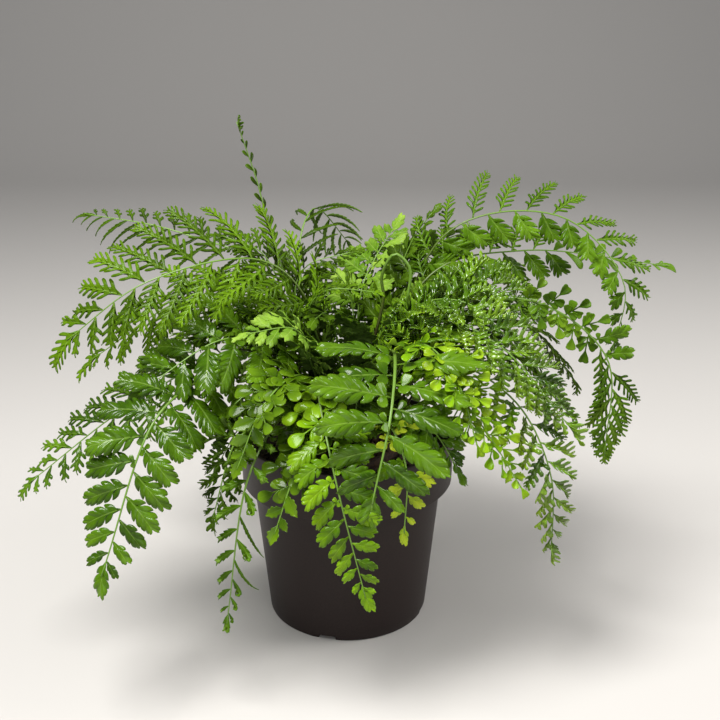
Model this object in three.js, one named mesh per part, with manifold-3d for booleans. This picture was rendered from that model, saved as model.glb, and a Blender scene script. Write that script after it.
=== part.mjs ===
// A fern in a black nursery pot. Millimetres, +Z up, +X right and -Y front; the origin is the
// middle of the pot's foot, on the surface that it stands on.
import * as THREE from "three";
import { mergeVertices } from "three/addons/utils/BufferGeometryUtils.js";
import Module from "manifold-3d";

const wasm = await Module();
wasm.setup();

// Pot
const potHeight = 110;
const footRadius = 46;
const bodyRadius = 54; // just under the band
const bandHeight = 28;
const bandRadius = 60; // at the band's lower edge
const rimRadius = 61;
const potWall = 1.6;
const potFloor = 1.8;
const potSides = 36;
const drainCount = 4;
const drainTurn = -104.5; // degrees, the notch that faces the front
const drainWidth = 10;
const drainHeight = 2.4;
const drainInner = 32; // from the axis to the closed end of a notch
const padRoof = 1.8; // floor left over a notch
const padMargin = 2;
const nicheWidth = 21; // shallow step in the wall on both sides of a notch
const nicheDepth = 0.9;
const padInset = 1.2; // from the foot's edge to a pad
const beyond = 4; // how far a cutter reaches out of the wall
const drainHole = 7;

// Soil and crown
const gap = 0.3; // between neighbours that touch
const soilTop = 99;
const soilSides = 18; // the crown's too
const soilLumps = 1.4;
const crownRadius = 30;
const crownFoot = 92;
const crownTop = 105.5;
const crownLumps = 0.8;

// Stalks and ribs, leaflet blades
const stalkFoot = 98.3; // bottom of a stalk in its hole
const stalkCollar = 107; // where it leaves the crown
const stalkSize = 1.8; // square section at the foot
const ribWidth = 1.3;
const ribHeight = 1.1;
const ribTipWidth = 0.9;
const ribTipHeight = 0.8;
const bladeThickness = 0.7;
const neckWidth = 1.8; // where a leaflet joins its rib
const neckOut = 0.5;
const stalkSteps = 4;
const crowding = 1.2; // leaflets stand closer towards the tip
const baseAngle = 76; // between rib and lowest leaflet, degrees
const tipAngle = 46;
const clearance = 0.45; // kept round a leaflet, each way
const ribClearance = 0.5;

// Outlines of a leaflet: along its length, and across it towards the frond's tip, both as parts
// of the length. The edge goes out on the lower side and comes back on the upper one.
const forms = {
  fine: {
    outline: [[0.2, -0.17], [0.36, -0.07], [0.56, -0.15], [1, 0], [0.66, 0.14], [0.5, 0.06], [0.26, 0.18]],
    droop: 0.1, lift: 6, colour: 0x3f8a22, roughness: 0.5,
  },
  slim: {
    outline: [[0.34, -0.19], [1, 0], [0.54, 0.09], [0.24, 0.18]],
    droop: 0.12, lift: 4, colour: 0x2f7420, roughness: 0.5,
  },
  broad: {
    outline: [
      [0.16, -0.28], [0.34, -0.26], [0.42, -0.18], [0.68, -0.21], [1, 0],
      [0.6, 0.24], [0.42, 0.18], [0.2, 0.31],
    ],
    droop: 0.14, lift: 4, colour: 0x4c9a2a, roughness: 0.42,
  },
  round: {
    outline: [[0.2, -0.32], [0.44, -0.14], [0.76, -0.26], [1, 0.02], [0.68, 0.2], [0.3, 0.34]],
    droop: 0.1, lift: 10, colour: 0x79b82c, roughness: 0.42,
  },
  gloss: {
    outline: [[0.3, -0.23], [1, 0], [0.56, 0.14], [0.26, 0.24]],
    droop: 0.16, lift: 8, colour: 0x3c8f2c, roughness: 0.3,
  },
  twist: {
    outline: [[0.5, -0.26], [1, 0], [0.4, 0.3]],
    droop: -0.2, lift: 30, colour: 0x3a7d28, roughness: 0.45,
  },
};

// Every frond: its form, its hole in the crown (distance from the axis and direction in
// degrees from +X), the length of its longest leaflet, its leaflet pairs, the bare share of its
// length, its roll in degrees, and the points that its rib passes through up to its tip.
const fronds = [
  ["leftHigh", "fine", [8, 190], 40, 6, 0.42, 46,
    [[-22, -5, 189], [-45, -12, 212], [-102, -34, 206], [-143, -44, 178]]],
  ["frontBroad", "broad", [15.5, 282], 40, 4, 0.5, 0,
    [[24, -40, 171], [22, -90, 155], [13, -110, 118]]],
  ["leftBroad", "broad", [23.5, 200], 32, 5, 0.32, 32,
    [[-58, -20, 149], [-91, -75, 151], [-117, -115, 82]]],
  ["rightArchTop", "fine", [15.5, 28], 24, 5, 0.42, -35,
    [[56, 20, 220], [118, 18, 229], [151, 0, 196], [146, -6, 158]]],
  ["rightArchTwo", "fine", [8, 350], 24, 5, 0.42, -30,
    [[46, 10, 198], [98, 26, 208], [188, 46, 194]]],
  ["rightHang", "gloss", [23.5, 352], 20, 6, 0.62, -75,
    [[56, -10, 184], [101, -20, 191], [138, -29, 163], [140, -33, 108]]],
  ["frontLight", "round", [15.5, 260], 23, 4, 0.42, 0,
    [[-14, -60, 159], [-5, -104, 131], [10, -115, 70]]],
  ["leftLow", "slim", [23.5, 181], 22, 5, 0.45, 30,
    [[-53, -5, 159], [-111, -30, 140], [-168, -52, 101]]],
  ["rightLight", "round", [23.5, 312], 22, 3, 0.42, -15,
    [[43, -45, 162], [68, -74, 143], [86, -86, 117]]],
  ["youngTall", "twist", [8, 130], 8, 5, 0.62, 0,
    [[-43, 25, 220], [-50, 30, 247], [-60, 30, 279]]],
  ["backFan", "slim", [15.5, 112], 26, 4, 0.55, 25,
    [[-29, 60, 198], [-21, 85, 220], [1, 125, 188]]],
  ["leftBack", "slim", [15.5, 140], 22, 4, 0.5, 46,
    [[-27, 25, 185], [-100, 60, 211], [-160, 80, 218]]],
  ["leftHangCurl", "slim", [23.5, 250], 18, 4, 0.45, 10,
    [[-30, -65, 145], [-46, -95, 127], [-60, -100, 45]]],
  ["rightGloss", "gloss", [15.5, 335], 20, 4, 0.4, -20,
    [[42, -20, 182], [78, -50, 177], [114, -70, 139]]],
  ["rightGlossLow", "gloss", [23.5, 332], 20, 5, 0.4, -20,
    [[52, -30, 160], [86, -58, 150], [103, -76, 118], [105, -82, 76]]],
  ["backLight", "broad", [15.5, 76], 24, 2, 0.62, 10,
    [[8, 40, 180], [16, 55, 196], [28, 70, 212]]],
  ["crozier", "bare", [8, 250], 0, 0, 1, 0,
    [[20, 0, 187], [19, 0, 200], [26, -2, 213], [34, -4, 206], [33, -6, 188]]],
  ["frontLeftLight", "round", [15.5, 236], 22, 3, 0.4, 10,
    [[-23, -55, 163], [-39, -82, 158], [-52, -97, 130]]],
  ["frontRightRound", "round", [15.5, 320], 22, 3, 0.48, -10,
    [[38, -45, 176], [54, -70, 168], [64, -86, 140]]],
  ["leftBroadHigh", "broad", [15.5, 212], 30, 3, 0.4, 34,
    [[-30, -20, 163], [-62, -42, 178], [-100, -60, 159]]],
  ["leftHangFine", "slim", [23.5, 232], 18, 4, 0.45, 10,
    [[-43, -55, 133], [-54, -75, 136], [-67, -84, 96]]],
  ["leftMid", "slim", [15.5, 172], 26, 4, 0.42, 25,
    [[-38, 4, 176], [-84, 0, 188], [-140, -12, 156]]],
  ["frontLeftLow", "round", [23.5, 268], 20, 3, 0.5, 0,
    [[-8, -68, 136], [-22, -92, 130], [-34, -106, 100]]],
  ["frontYellow", "round", [23.5, 288], 16, 3, 0.5, 0,
    [[22, -66, 140], [30, -88, 126], [29, -98, 96]]],
  ["rightMidA", "gloss", [15.5, 350], 22, 4, 0.45, -20,
    [[46, 0, 187], [76, -10, 197], [112, -14, 178]]],
  ["rightMidB", "gloss", [8, 310], 20, 4, 0.48, -20,
    [[36, -15, 186], [62, -30, 194], [90, -44, 172]]],
  ["rightMidC", "broad", [8, 50], 24, 2, 0.55, -10,
    [[38, 24, 196], [62, 38, 214], [92, 52, 206]]],
  ["centreRound", "round", [0, 0], 16, 2, 0.55, 0,
    [[14, 4, 150], [20, 8, 174], [17, 10, 190]]],
  ["youngPale", "slim", [11.5, 238], 18, 3, 0.6, 20,
    [[-18, -32, 160], [-26, -44, 184], [-50, -52, 184]]],
  ["darkInner", "gloss", [15.5, 190], 16, 3, 0.5, 10,
    [[-28, -30, 145], [-40, -50, 160], [-56, -62, 150]]],
  ["frontDark", "gloss", [8, 280], 16, 3, 0.5, -10,
    [[6, -34, 150], [6, -60, 152], [2, -84, 138]]],
  ["rightLow", "slim", [23.5, 14], 24, 3, 0.42, -15,
    [[58, 10, 150], [96, 18, 150], [132, 22, 112]]],
  ["backRight", "slim", [15.5, 44], 26, 3, 0.42, 0,
    [[50, 46, 182], [92, 84, 186], [128, 112, 140]]],
  ["backRightLow", "slim", [23.5, 36], 24, 3, 0.42, 0,
    [[56, 34, 152], [104, 58, 156], [146, 78, 108]]],
  ["backTall", "slim", [8, 88], 26, 3, 0.45, 0,
    [[20, 52, 186], [42, 96, 196], [60, 140, 160]]],
  ["backMiddle", "slim", [15.5, 92], 26, 3, 0.42, 0,
    [[-2, 62, 172], [-8, 110, 172], [-10, 152, 122]]],
  ["backLow", "broad", [23.5, 72], 24, 2, 0.42, 0,
    [[20, 64, 142], [36, 100, 136], [46, 122, 82]]],
  ["backLeft", "slim", [15.5, 158], 26, 3, 0.42, 0,
    [[-46, 44, 168], [-88, 86, 176], [-122, 118, 132]]],
  ["backLeftLow", "slim", [23.5, 150], 24, 3, 0.42, 0,
    [[-50, 34, 150], [-98, 62, 148], [-140, 82, 100]]],
  ["backLeftMiddle", "slim", [23.5, 122], 24, 3, 0.42, 0,
    [[-30, 58, 145], [-52, 98, 145], [-66, 124, 92]]],
  ["combDark", "slim", [8, 160], 16, 3, 0.62, -20,
    [[-21, 10, 163], [-29, 16, 188], [-22, 20, 201], [2, 22, 208]]],
  ["innerFeather", "slim", [8, 220], 16, 3, 0.6, -15,
    [[-13, -10, 160], [-20, -14, 186], [-10, -17, 197], [15, -20, 197]]],
  ["innerShade", "slim", [4, 100], 18, 2, 0.55, 0,
    [[-4, 4, 147], [-7, -2, 172], [-11, -12, 183], [-16, -26, 184]]],
  ["innerRound", "round", [4, 325], 13, 2, 0.5, 0,
    [[15, -3, 146], [22, -4, 166], [25, -10, 180], [27, -18, 190]]],
  ["darkHigh", "gloss", [12, 60], 18, 3, 0.5, 0,
    [[19, 20, 153], [28, 30, 189], [38, 34, 214], [48, 34, 228]]],
  ["darkMiddle", "slim", [8, 20], 20, 3, 0.48, -10,
    [[26, 6, 155], [42, 8, 180], [62, 8, 190], [90, 6, 186]]],
  ["darkLow", "gloss", [15.5, 9], 18, 3, 0.45, -15,
    [[30, 5, 148], [48, 13, 168], [72, 22, 176], [104, 28, 170]]],
  ["leftInner", "slim", [12, 200], 22, 3, 0.45, 25,
    [[-16, -4, 147], [-32, -8, 183], [-51, -12, 196], [-80, -18, 191]]],
  ["leftInnerLow", "slim", [19.5, 204], 20, 3, 0.45, 20,
    [[-30, -14, 143], [-42, -16, 166], [-58, -26, 180], [-80, -36, 174]]],
  ["leftBackInner", "slim", [12, 150], 20, 3, 0.5, 30,
    [[-27, 13, 158], [-37, 19, 188], [-48, 22, 208], [-70, 28, 216]]],
  ["youngGloss", "gloss", [19, 222], 13, 3, 0.5, 0,
    [[-22, -24, 124], [-30, -34, 141], [-40, -40, 154], [-46, -44, 173]]],
  ["centreDark", "slim", [11.5, 268], 20, 2, 0.5, 0,
    [[-2, -22, 137], [-2, -32, 157], [-8, -40, 172], [-20, -50, 177]]],
  ["rimDark", "broad", [23.5, 300], 20, 2, 0.4, 0,
    [[18, -32, 126], [30, -48, 138], [44, -62, 136], [56, -72, 120]]],
  ["rimRound", "round", [19.5, 250], 18, 2, 0.45, 0,
    [[-11, -32, 128], [-20, -48, 142], [-24, -66, 136], [-28, -78, 122]]],
  ["rimLeft", "slim", [23.5, 218], 18, 2, 0.45, 0,
    [[-26, -24, 124], [-40, -40, 138], [-54, -52, 134], [-66, -60, 116]]],
  ["limeInner", "broad", [12, 100], 15, 2, 0.5, 0,
    [[3, 14, 156], [3, 16, 179], [-1, 16, 191], [-7, 14, 200]]],
];

const materials = {
  pot: new THREE.MeshStandardMaterial({ color: 0x1b1a1a, roughness: 0.48, metalness: 0 }),
  soil: new THREE.MeshStandardMaterial({ color: 0x2c2119, roughness: 0.95, metalness: 0 }),
  crown: new THREE.MeshStandardMaterial({ color: 0x3a2a1c, roughness: 0.9, metalness: 0 }),
};

const radians = THREE.MathUtils.degToRad;

// Numbers from 0 to 1, the same on each run.
function seededRandom(seed) {
  let state = seed;
  return () => {
    state = (state * 1664525 + 1013904223) % 4294967296;
    return state / 4294967296;
  };
}

// One closed surface with shared corners and no flat slivers.
function welded(geometry) {
  geometry.deleteAttribute("normal");
  geometry.deleteAttribute("uv");
  const merged = mergeVertices(geometry, 1e-4);
  const index = merged.index.array;
  const kept = [];
  for (let i = 0; i < index.length; i += 3) {
    const [a, b, c] = [index[i], index[i + 1], index[i + 2]];
    if (a !== b && b !== c && c !== a) {
      kept.push(a, b, c);
    }
  }
  merged.setIndex(kept);
  return merged;
}

function toSolid(geometry) {
  const mesh = new wasm.Mesh({
    numProp: 3,
    vertProperties: new Float32Array(geometry.attributes.position.array),
    triVerts: new Uint32Array(geometry.index.array),
  });
  return new wasm.Manifold(mesh);
}

function toGeometry(solid) {
  const mesh = solid.getMesh();
  const geometry = new THREE.BufferGeometry();
  geometry.setAttribute("position", new THREE.BufferAttribute(mesh.vertProperties, 3));
  geometry.setIndex(new THREE.BufferAttribute(mesh.triVerts, 1));
  geometry.computeVertexNormals();
  return geometry;
}

// A turned solid about the Z axis: the profile goes up the outside, from the axis back to it.
function turned(profile, sides) {
  const points = profile.map(([radius, height]) => new THREE.Vector2(radius, height));
  return welded(new THREE.LatheGeometry(points, sides).rotateX(Math.PI / 2));
}

// A block along a direction from the axis, between two distances and two heights.
function spoke(inner, outer, low, high, width, degrees) {
  const block = new THREE.BoxGeometry(outer - inner, width, high - low);
  block.translate((inner + outer) / 2, 0, (low + high) / 2);
  block.rotateZ(radians(degrees));
  return toSolid(welded(block));
}

function drainAngle(i) {
  return drainTurn + (i * 360) / drainCount;
}

function makePot() {
  const bandLow = potHeight - bandHeight;
  const profile = [
    [0, 0],
    [footRadius - 1, 0],
    [footRadius, 1.2],
    [bodyRadius, bandLow - 0.8],
    [bandRadius, bandLow],
    [rimRadius, potHeight - 0.6],
    [rimRadius - 0.5, potHeight],
    [rimRadius - potWall, potHeight],
    [bandRadius - potWall, bandLow + 3],
    [bodyRadius - potWall, bandLow],
    [footRadius - potWall, potFloor],
    [0, potFloor],
  ];
  const padTop = drainHeight + padRoof;
  const padWidth = drainWidth + 2 * padMargin;
  const outer = footRadius + beyond;
  let pot = toSolid(turned(profile, potSides));
  for (let i = 0; i < drainCount; i += 1) {
    const angle = drainAngle(i);
    const padEnd = footRadius - padInset;
    const pad = spoke(drainInner - padMargin, padEnd, potFloor / 2, padTop, padWidth, angle);
    const notch = spoke(drainInner, outer, -1, drainHeight, drainWidth, angle);
    const niche = spoke(footRadius - nicheDepth, outer, -1, drainHeight, nicheWidth, angle);
    const hole = new THREE.CylinderGeometry(drainHole / 2, drainHole / 2, padTop, 8);
    hole.rotateX(Math.PI / 2);
    hole.translate((drainInner + footRadius) / 2 - 0.8, 0, padTop);
    hole.rotateZ(radians(angle));
    pot = pot.add(pad).subtract(notch).subtract(niche).subtract(toSolid(welded(hole)));
  }
  return toGeometry(pot);
}

// Raises and lowers the top of a turned solid a little, so that it lies like loose earth.
function lumpy(geometry, above, reach, height, seed) {
  const random = seededRandom(seed);
  const position = geometry.attributes.position;
  for (let i = 0; i < position.count; i += 1) {
    const radius = Math.hypot(position.getX(i), position.getY(i));
    const shift = (random() - 0.5) * 2 * height;
    if (position.getZ(i) > above && radius < reach) {
      position.setZ(i, position.getZ(i) + shift);
    }
  }
  return geometry;
}

function makeSoil() {
  const bandLow = potHeight - bandHeight;
  const brim = bandRadius - potWall - gap;
  const profile = [
    [0, potFloor + gap],
    [footRadius - potWall - gap, potFloor + gap],
    [bodyRadius - potWall - gap, bandLow + gap],
    [brim, bandLow + 3 + gap],
    [brim + 0.4, soilTop - 1],
    [brim - 6, soilTop + 0.5],
    [brim - 16, soilTop - 0.5],
    [crownRadius + 1.5, soilTop + 0.5],
    [crownRadius + 0.9, soilTop - 0.6],
    [crownRadius - 2.6, crownFoot - gap],
    [0, crownFoot - gap],
  ];
  const reach = brim - 2;
  const body = lumpy(turned(profile, soilSides), soilTop - 0.55, reach, soilLumps, 11);
  const padTop = drainHeight + padRoof + gap;
  const padWidth = drainWidth + 2 * padMargin + 2 * gap;
  let soil = toSolid(body);
  for (let i = 0; i < drainCount; i += 1) {
    const inner = drainInner - padMargin - gap;
    soil = soil.subtract(spoke(inner, footRadius + beyond, 0, padTop, padWidth, drainAngle(i)));
  }
  return toGeometry(soil);
}

// The short rhizome, with a plain square hole for each stalk.
function makeCrown() {
  const profile = [
    [0, crownFoot],
    [crownRadius - 3, crownFoot],
    [crownRadius + 0.5, soilTop - 0.9],
    [crownRadius - 1.5, crownTop - 3],
    [crownRadius - 11, crownTop - 0.8],
    [0, crownTop],
  ];
  const body = lumpy(turned(profile, soilSides), crownTop - 3.5, crownRadius, crownLumps, 5);
  const side = stalkSize + 2 * gap;
  let crown = toSolid(body);
  for (const frond of fronds) {
    const [distance, degrees] = frond[2];
    const hole = new THREE.BoxGeometry(side, side, 20);
    hole.rotateZ(heading(frond));
    hole.translate(
      distance * Math.cos(radians(degrees)),
      distance * Math.sin(radians(degrees)),
      stalkFoot - gap + 10,
    );
    crown = crown.subtract(toSolid(welded(hole)));
  }
  return toGeometry(crown);
}

// The direction in which a frond leans, seen from above.
function heading(frond) {
  const [, , [distance, degrees], , , , , path] = frond;
  const tip = path[path.length - 1];
  const x = tip[0] - distance * Math.cos(radians(degrees));
  const y = tip[1] - distance * Math.sin(radians(degrees));
  return Math.atan2(y, x);
}

// Stations along a frond: where its rib is, which way it runs and which way its leaflets lie.
function stationsOf(frond) {
  const [, , [distance, degrees], , pairs, bare, roll, path] = frond;
  const x = distance * Math.cos(radians(degrees));
  const y = distance * Math.sin(radians(degrees));
  const lean = heading(frond);
  const across = new THREE.Vector3(Math.sin(lean), -Math.cos(lean), 0);
  const points = [new THREE.Vector3(x, y, stalkCollar)];
  for (const point of path) {
    points.push(new THREE.Vector3(...point));
  }
  const curve = new THREE.CatmullRomCurve3(points, false, "centripetal");
  const shares = [];
  const steps = pairs > 0 ? stalkSteps : stalkSteps * 2.5;
  for (let i = 0; i < steps; i += 1) {
    shares.push((bare * i) / steps);
  }
  for (let i = 0; i <= pairs; i += 1) {
    shares.push(bare + (1 - bare) * (1 - (1 - i / (pairs + 0.5)) ** crowding));
  }
  const stations = [station(new THREE.Vector3(x, y, stalkFoot), new THREE.Vector3(0, 0, 1), across, 0, 0)];
  for (const share of shares) {
    const start = share === 0;
    const along = start ? new THREE.Vector3(0, 0, 1) : curve.getTangentAt(share);
    const turn = radians(roll) * THREE.MathUtils.smoothstep(share, 0, Math.max(bare, 0.2));
    const blade = Math.max(0, (share - bare) / Math.max(1 - bare, 0.01));
    stations.push(station(curve.getPointAt(share), along, across, turn, share, blade));
  }
  return stations;
}

function station(centre, along, across, turn, share, blade = 0) {
  const side = across.clone().addScaledVector(along, -across.dot(along)).normalize();
  side.applyAxisAngle(along, -turn);
  const up = side.clone().cross(along);
  return { centre, along, side, up, share, blade };
}

// Collects the corners and triangles of one closed surface.
class Skin {
  constructor() {
    this.corners = [];
    this.triangles = [];
  }

  // A corner pair: one on the upper face and one right below it on the lower face.
  pair(middle, up, height) {
    const first = this.corners.length;
    this.corners.push(middle.clone().addScaledVector(up, height / 2));
    this.corners.push(middle.clone().addScaledVector(up, -height / 2));
    return first;
  }

  triangle(a, b, c, flipped) {
    this.triangles.push(flipped ? [a, c, b] : [a, b, c]);
  }

  // The edge wall between two corner pairs.
  wall(a, b, flipped) {
    this.triangle(a, a + 1, b + 1, flipped);
    this.triangle(a, b + 1, b, flipped);
  }

  // Upper face, lower face and edges over a flat outline of corner pairs.
  plate(pairs, flat, flipped) {
    for (const [i, j, k] of THREE.ShapeUtils.triangulateShape(flat, [])) {
      const turn = (flat[j].x - flat[i].x) * (flat[k].y - flat[i].y)
        - (flat[j].y - flat[i].y) * (flat[k].x - flat[i].x);
      const reversed = turn < 0 !== flipped;
      this.triangle(pairs[i], pairs[j], pairs[k], reversed);
      this.triangle(pairs[i] + 1, pairs[j] + 1, pairs[k] + 1, !reversed);
    }
    for (let i = 0; i + 1 < pairs.length; i += 1) {
      this.wall(pairs[i], pairs[i + 1], flipped);
    }
  }

  faces() {
    return this.triangles.map((triangle) => triangle.map((corner) => this.corners[corner]));
  }

  geometry() {
    const flat = [];
    for (const corner of this.corners) {
      flat.push(corner.x, corner.y, corner.z);
    }
    const geometry = new THREE.BufferGeometry();
    geometry.setAttribute("position", new THREE.Float32BufferAttribute(flat, 3));
    geometry.setIndex(this.triangles.flat());
    geometry.computeVertexNormals();
    return geometry;
  }
}

// Remembers the faces that are already in place, sorted into boxes, so that a leaflet can be
// tested against those near it.
class Neighbourhood {
  constructor(size) {
    this.size = size;
    this.cells = new Map();
  }

  keys(faces) {
    const box = new THREE.Box3().setFromPoints(faces.flat());
    const low = box.min.divideScalar(this.size).floor();
    const high = box.max.divideScalar(this.size).floor();
    const keys = [];
    for (let x = low.x; x <= high.x; x += 1) {
      for (let y = low.y; y <= high.y; y += 1) {
        for (let z = low.z; z <= high.z; z += 1) {
          keys.push(`${x},${y},${z}`);
        }
      }
    }
    return keys;
  }

  add(faces, owner) {
    for (const face of faces) {
      const entry = { face, owner, box: new THREE.Box3().setFromPoints(face) };
      for (const key of this.keys([face])) {
        if (!this.cells.has(key)) {
          this.cells.set(key, []);
        }
        this.cells.get(key).push(entry);
      }
    }
  }

  // True if any of these faces crosses one in place that belongs to another owner.
  crosses(faces, owner) {
    const box = new THREE.Box3().setFromPoints(faces.flat());
    const near = new Set();
    for (const key of this.keys(faces)) {
      for (const entry of this.cells.get(key) ?? []) {
        if (entry.owner !== owner && entry.box.intersectsBox(box)) {
          near.add(entry);
        }
      }
    }
    for (const entry of near) {
      for (const face of faces) {
        if (edgesPass(face, entry.face) || edgesPass(entry.face, face)) {
          return true;
        }
      }
    }
    return false;
  }
}

// True if an edge of the first triangle passes through the second.
function edgesPass(edges, face) {
  const [a, b, c] = face;
  const ux = b.x - a.x;
  const uy = b.y - a.y;
  const uz = b.z - a.z;
  const vx = c.x - a.x;
  const vy = c.y - a.y;
  const vz = c.z - a.z;
  const nx = uy * vz - uz * vy;
  const ny = uz * vx - ux * vz;
  const nz = ux * vy - uy * vx;
  const distances = edges.map((p) => (p.x - a.x) * nx + (p.y - a.y) * ny + (p.z - a.z) * nz);
  const area = nx * nx + ny * ny + nz * nz;
  for (let i = 0; i < 3; i += 1) {
    const from = distances[i];
    const to = distances[(i + 1) % 3];
    if (from * to < 0) {
      const share = from / (from - to);
      const p = edges[i];
      const q = edges[(i + 1) % 3];
      const wx = p.x + (q.x - p.x) * share - a.x;
      const wy = p.y + (q.y - p.y) * share - a.y;
      const wz = p.z + (q.z - p.z) * share - a.z;
      const s = ((wy * vz - wz * vy) * nx + (wz * vx - wx * vz) * ny + (wx * vy - wy * vx) * nz) / area;
      const t = ((uy * wz - uz * wy) * nx + (uz * wx - ux * wz) * ny + (ux * wy - uy * wx) * nz) / area;
      if (s >= 0 && t >= 0 && s + t <= 1) {
        return true;
      }
    }
  }
  return false;
}

// Where a leaflet's corners lie: side is 1 on the right of the rib, -1 on its left and 0 for
// the leaflet that ends the frond. Tilt turns the blade about the rib, in degrees.
function leafletCorners(form, root, frame, side, length, width, angle, tilt, grow) {
  const turned = radians(tilt);
  const outward = frame.side.clone().multiplyScalar(side * Math.cos(turned));
  outward.addScaledVector(frame.up, Math.sin(turned));
  const lean = side === 0 ? 0 : radians(angle);
  const up = frame.up.clone().multiplyScalar(Math.cos(turned));
  up.addScaledVector(frame.side, -side * Math.sin(turned));
  const along = frame.along.clone().multiplyScalar(Math.cos(lean));
  along.addScaledVector(outward, Math.sin(lean));
  const tipward = side === 0
    ? frame.side.clone().negate()
    : frame.along.clone().multiplyScalar(Math.sin(lean)).addScaledVector(outward, -Math.cos(lean));
  const middles = form.outline.map(([u, v]) => {
    const point = root.clone().addScaledVector(along, u * (length + grow));
    point.addScaledVector(tipward, v * width * (1 + grow / 4));
    return point.addScaledVector(up, -form.droop * length * u * u);
  });
  return { middles, along, tipward, up };
}

// A loose blade on its own, a little larger than life, for testing against its neighbours.
function testBlade(corners, thickness) {
  const skin = new Skin();
  const pairs = corners.middles.map((middle) => skin.pair(middle, corners.up, thickness));
  const flat = corners.middles.map((middle) => flatten(middle, corners));
  skin.plate([...pairs, pairs[0]], flat, false);
  return skin.faces();
}

function flatten(point, corners) {
  return new THREE.Vector2(point.dot(corners.along), point.dot(corners.tipward));
}

const tilts = [0, 14, -14, 28, -28, 42, -42, 56];
const shortenings = [1, 0.82, 0.66, 0.5];

// The first way to lay a leaflet that stays clear of everything in place, or nothing.
function clearLeaflet(form, root, frame, side, length, width, angle, owner, placed) {
  for (const shorter of shortenings) {
    for (const tilt of tilts) {
      const size = length * shorter;
      const blade = [form, root, frame, side, size, width * shorter, angle, form.lift + tilt];
      const wide = leafletCorners(...blade, clearance);
      if (!placed.crosses(testBlade(wide, bladeThickness + 2 * clearance), owner)) {
        const corners = leafletCorners(...blade, 0);
        placed.add(testBlade(corners, bladeThickness), `${owner} ${side} ${frame.share}`);
        return corners;
      }
    }
  }
  return null;
}

// Stalk and rib of a frond, without its leaflets.
function ribSizes(frond, stations) {
  const [, , , , , bare] = frond;
  return stations.map(({ share, blade }) => {
    const upStalk = Math.min(1, share / Math.max(bare, 0.01));
    const width = THREE.MathUtils.lerp(stalkSize, ribWidth, upStalk);
    const height = THREE.MathUtils.lerp(stalkSize, ribHeight, upStalk);
    return {
      width: THREE.MathUtils.lerp(width, ribTipWidth, blade),
      height: THREE.MathUtils.lerp(height, ribTipHeight, blade),
    };
  });
}

function ribEdges(skin, stations, sizes, extra) {
  return stations.map(({ centre, side, up }, i) => {
    const half = sizes[i].width / 2 + extra;
    const high = sizes[i].height + 2 * extra;
    return {
      right: skin.pair(centre.clone().addScaledVector(side, half), up, high),
      left: skin.pair(centre.clone().addScaledVector(side, -half), up, high),
    };
  });
}

function ribFaces(skin, from, to) {
  skin.triangle(from.right, to.right, to.left, false);
  skin.triangle(from.right, to.left, from.left, false);
  skin.triangle(from.right + 1, to.right + 1, to.left + 1, true);
  skin.triangle(from.right + 1, to.left + 1, from.left + 1, true);
}

function testRib(stations, sizes) {
  const skin = new Skin();
  const edges = ribEdges(skin, stations, sizes, ribClearance);
  for (let i = 0; i + 1 < edges.length; i += 1) {
    ribFaces(skin, edges[i], edges[i + 1]);
    skin.wall(edges[i].right, edges[i + 1].right, false);
    skin.wall(edges[i].left, edges[i + 1].left, true);
  }
  return skin.faces();
}

// Leaflets are longest at a quarter of the blade and shorten to its tip.
function leafletLength(longest, blade) {
  return longest * Math.sin(Math.PI * (0.3 + 0.66 * blade)) ** 0.8;
}

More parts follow.
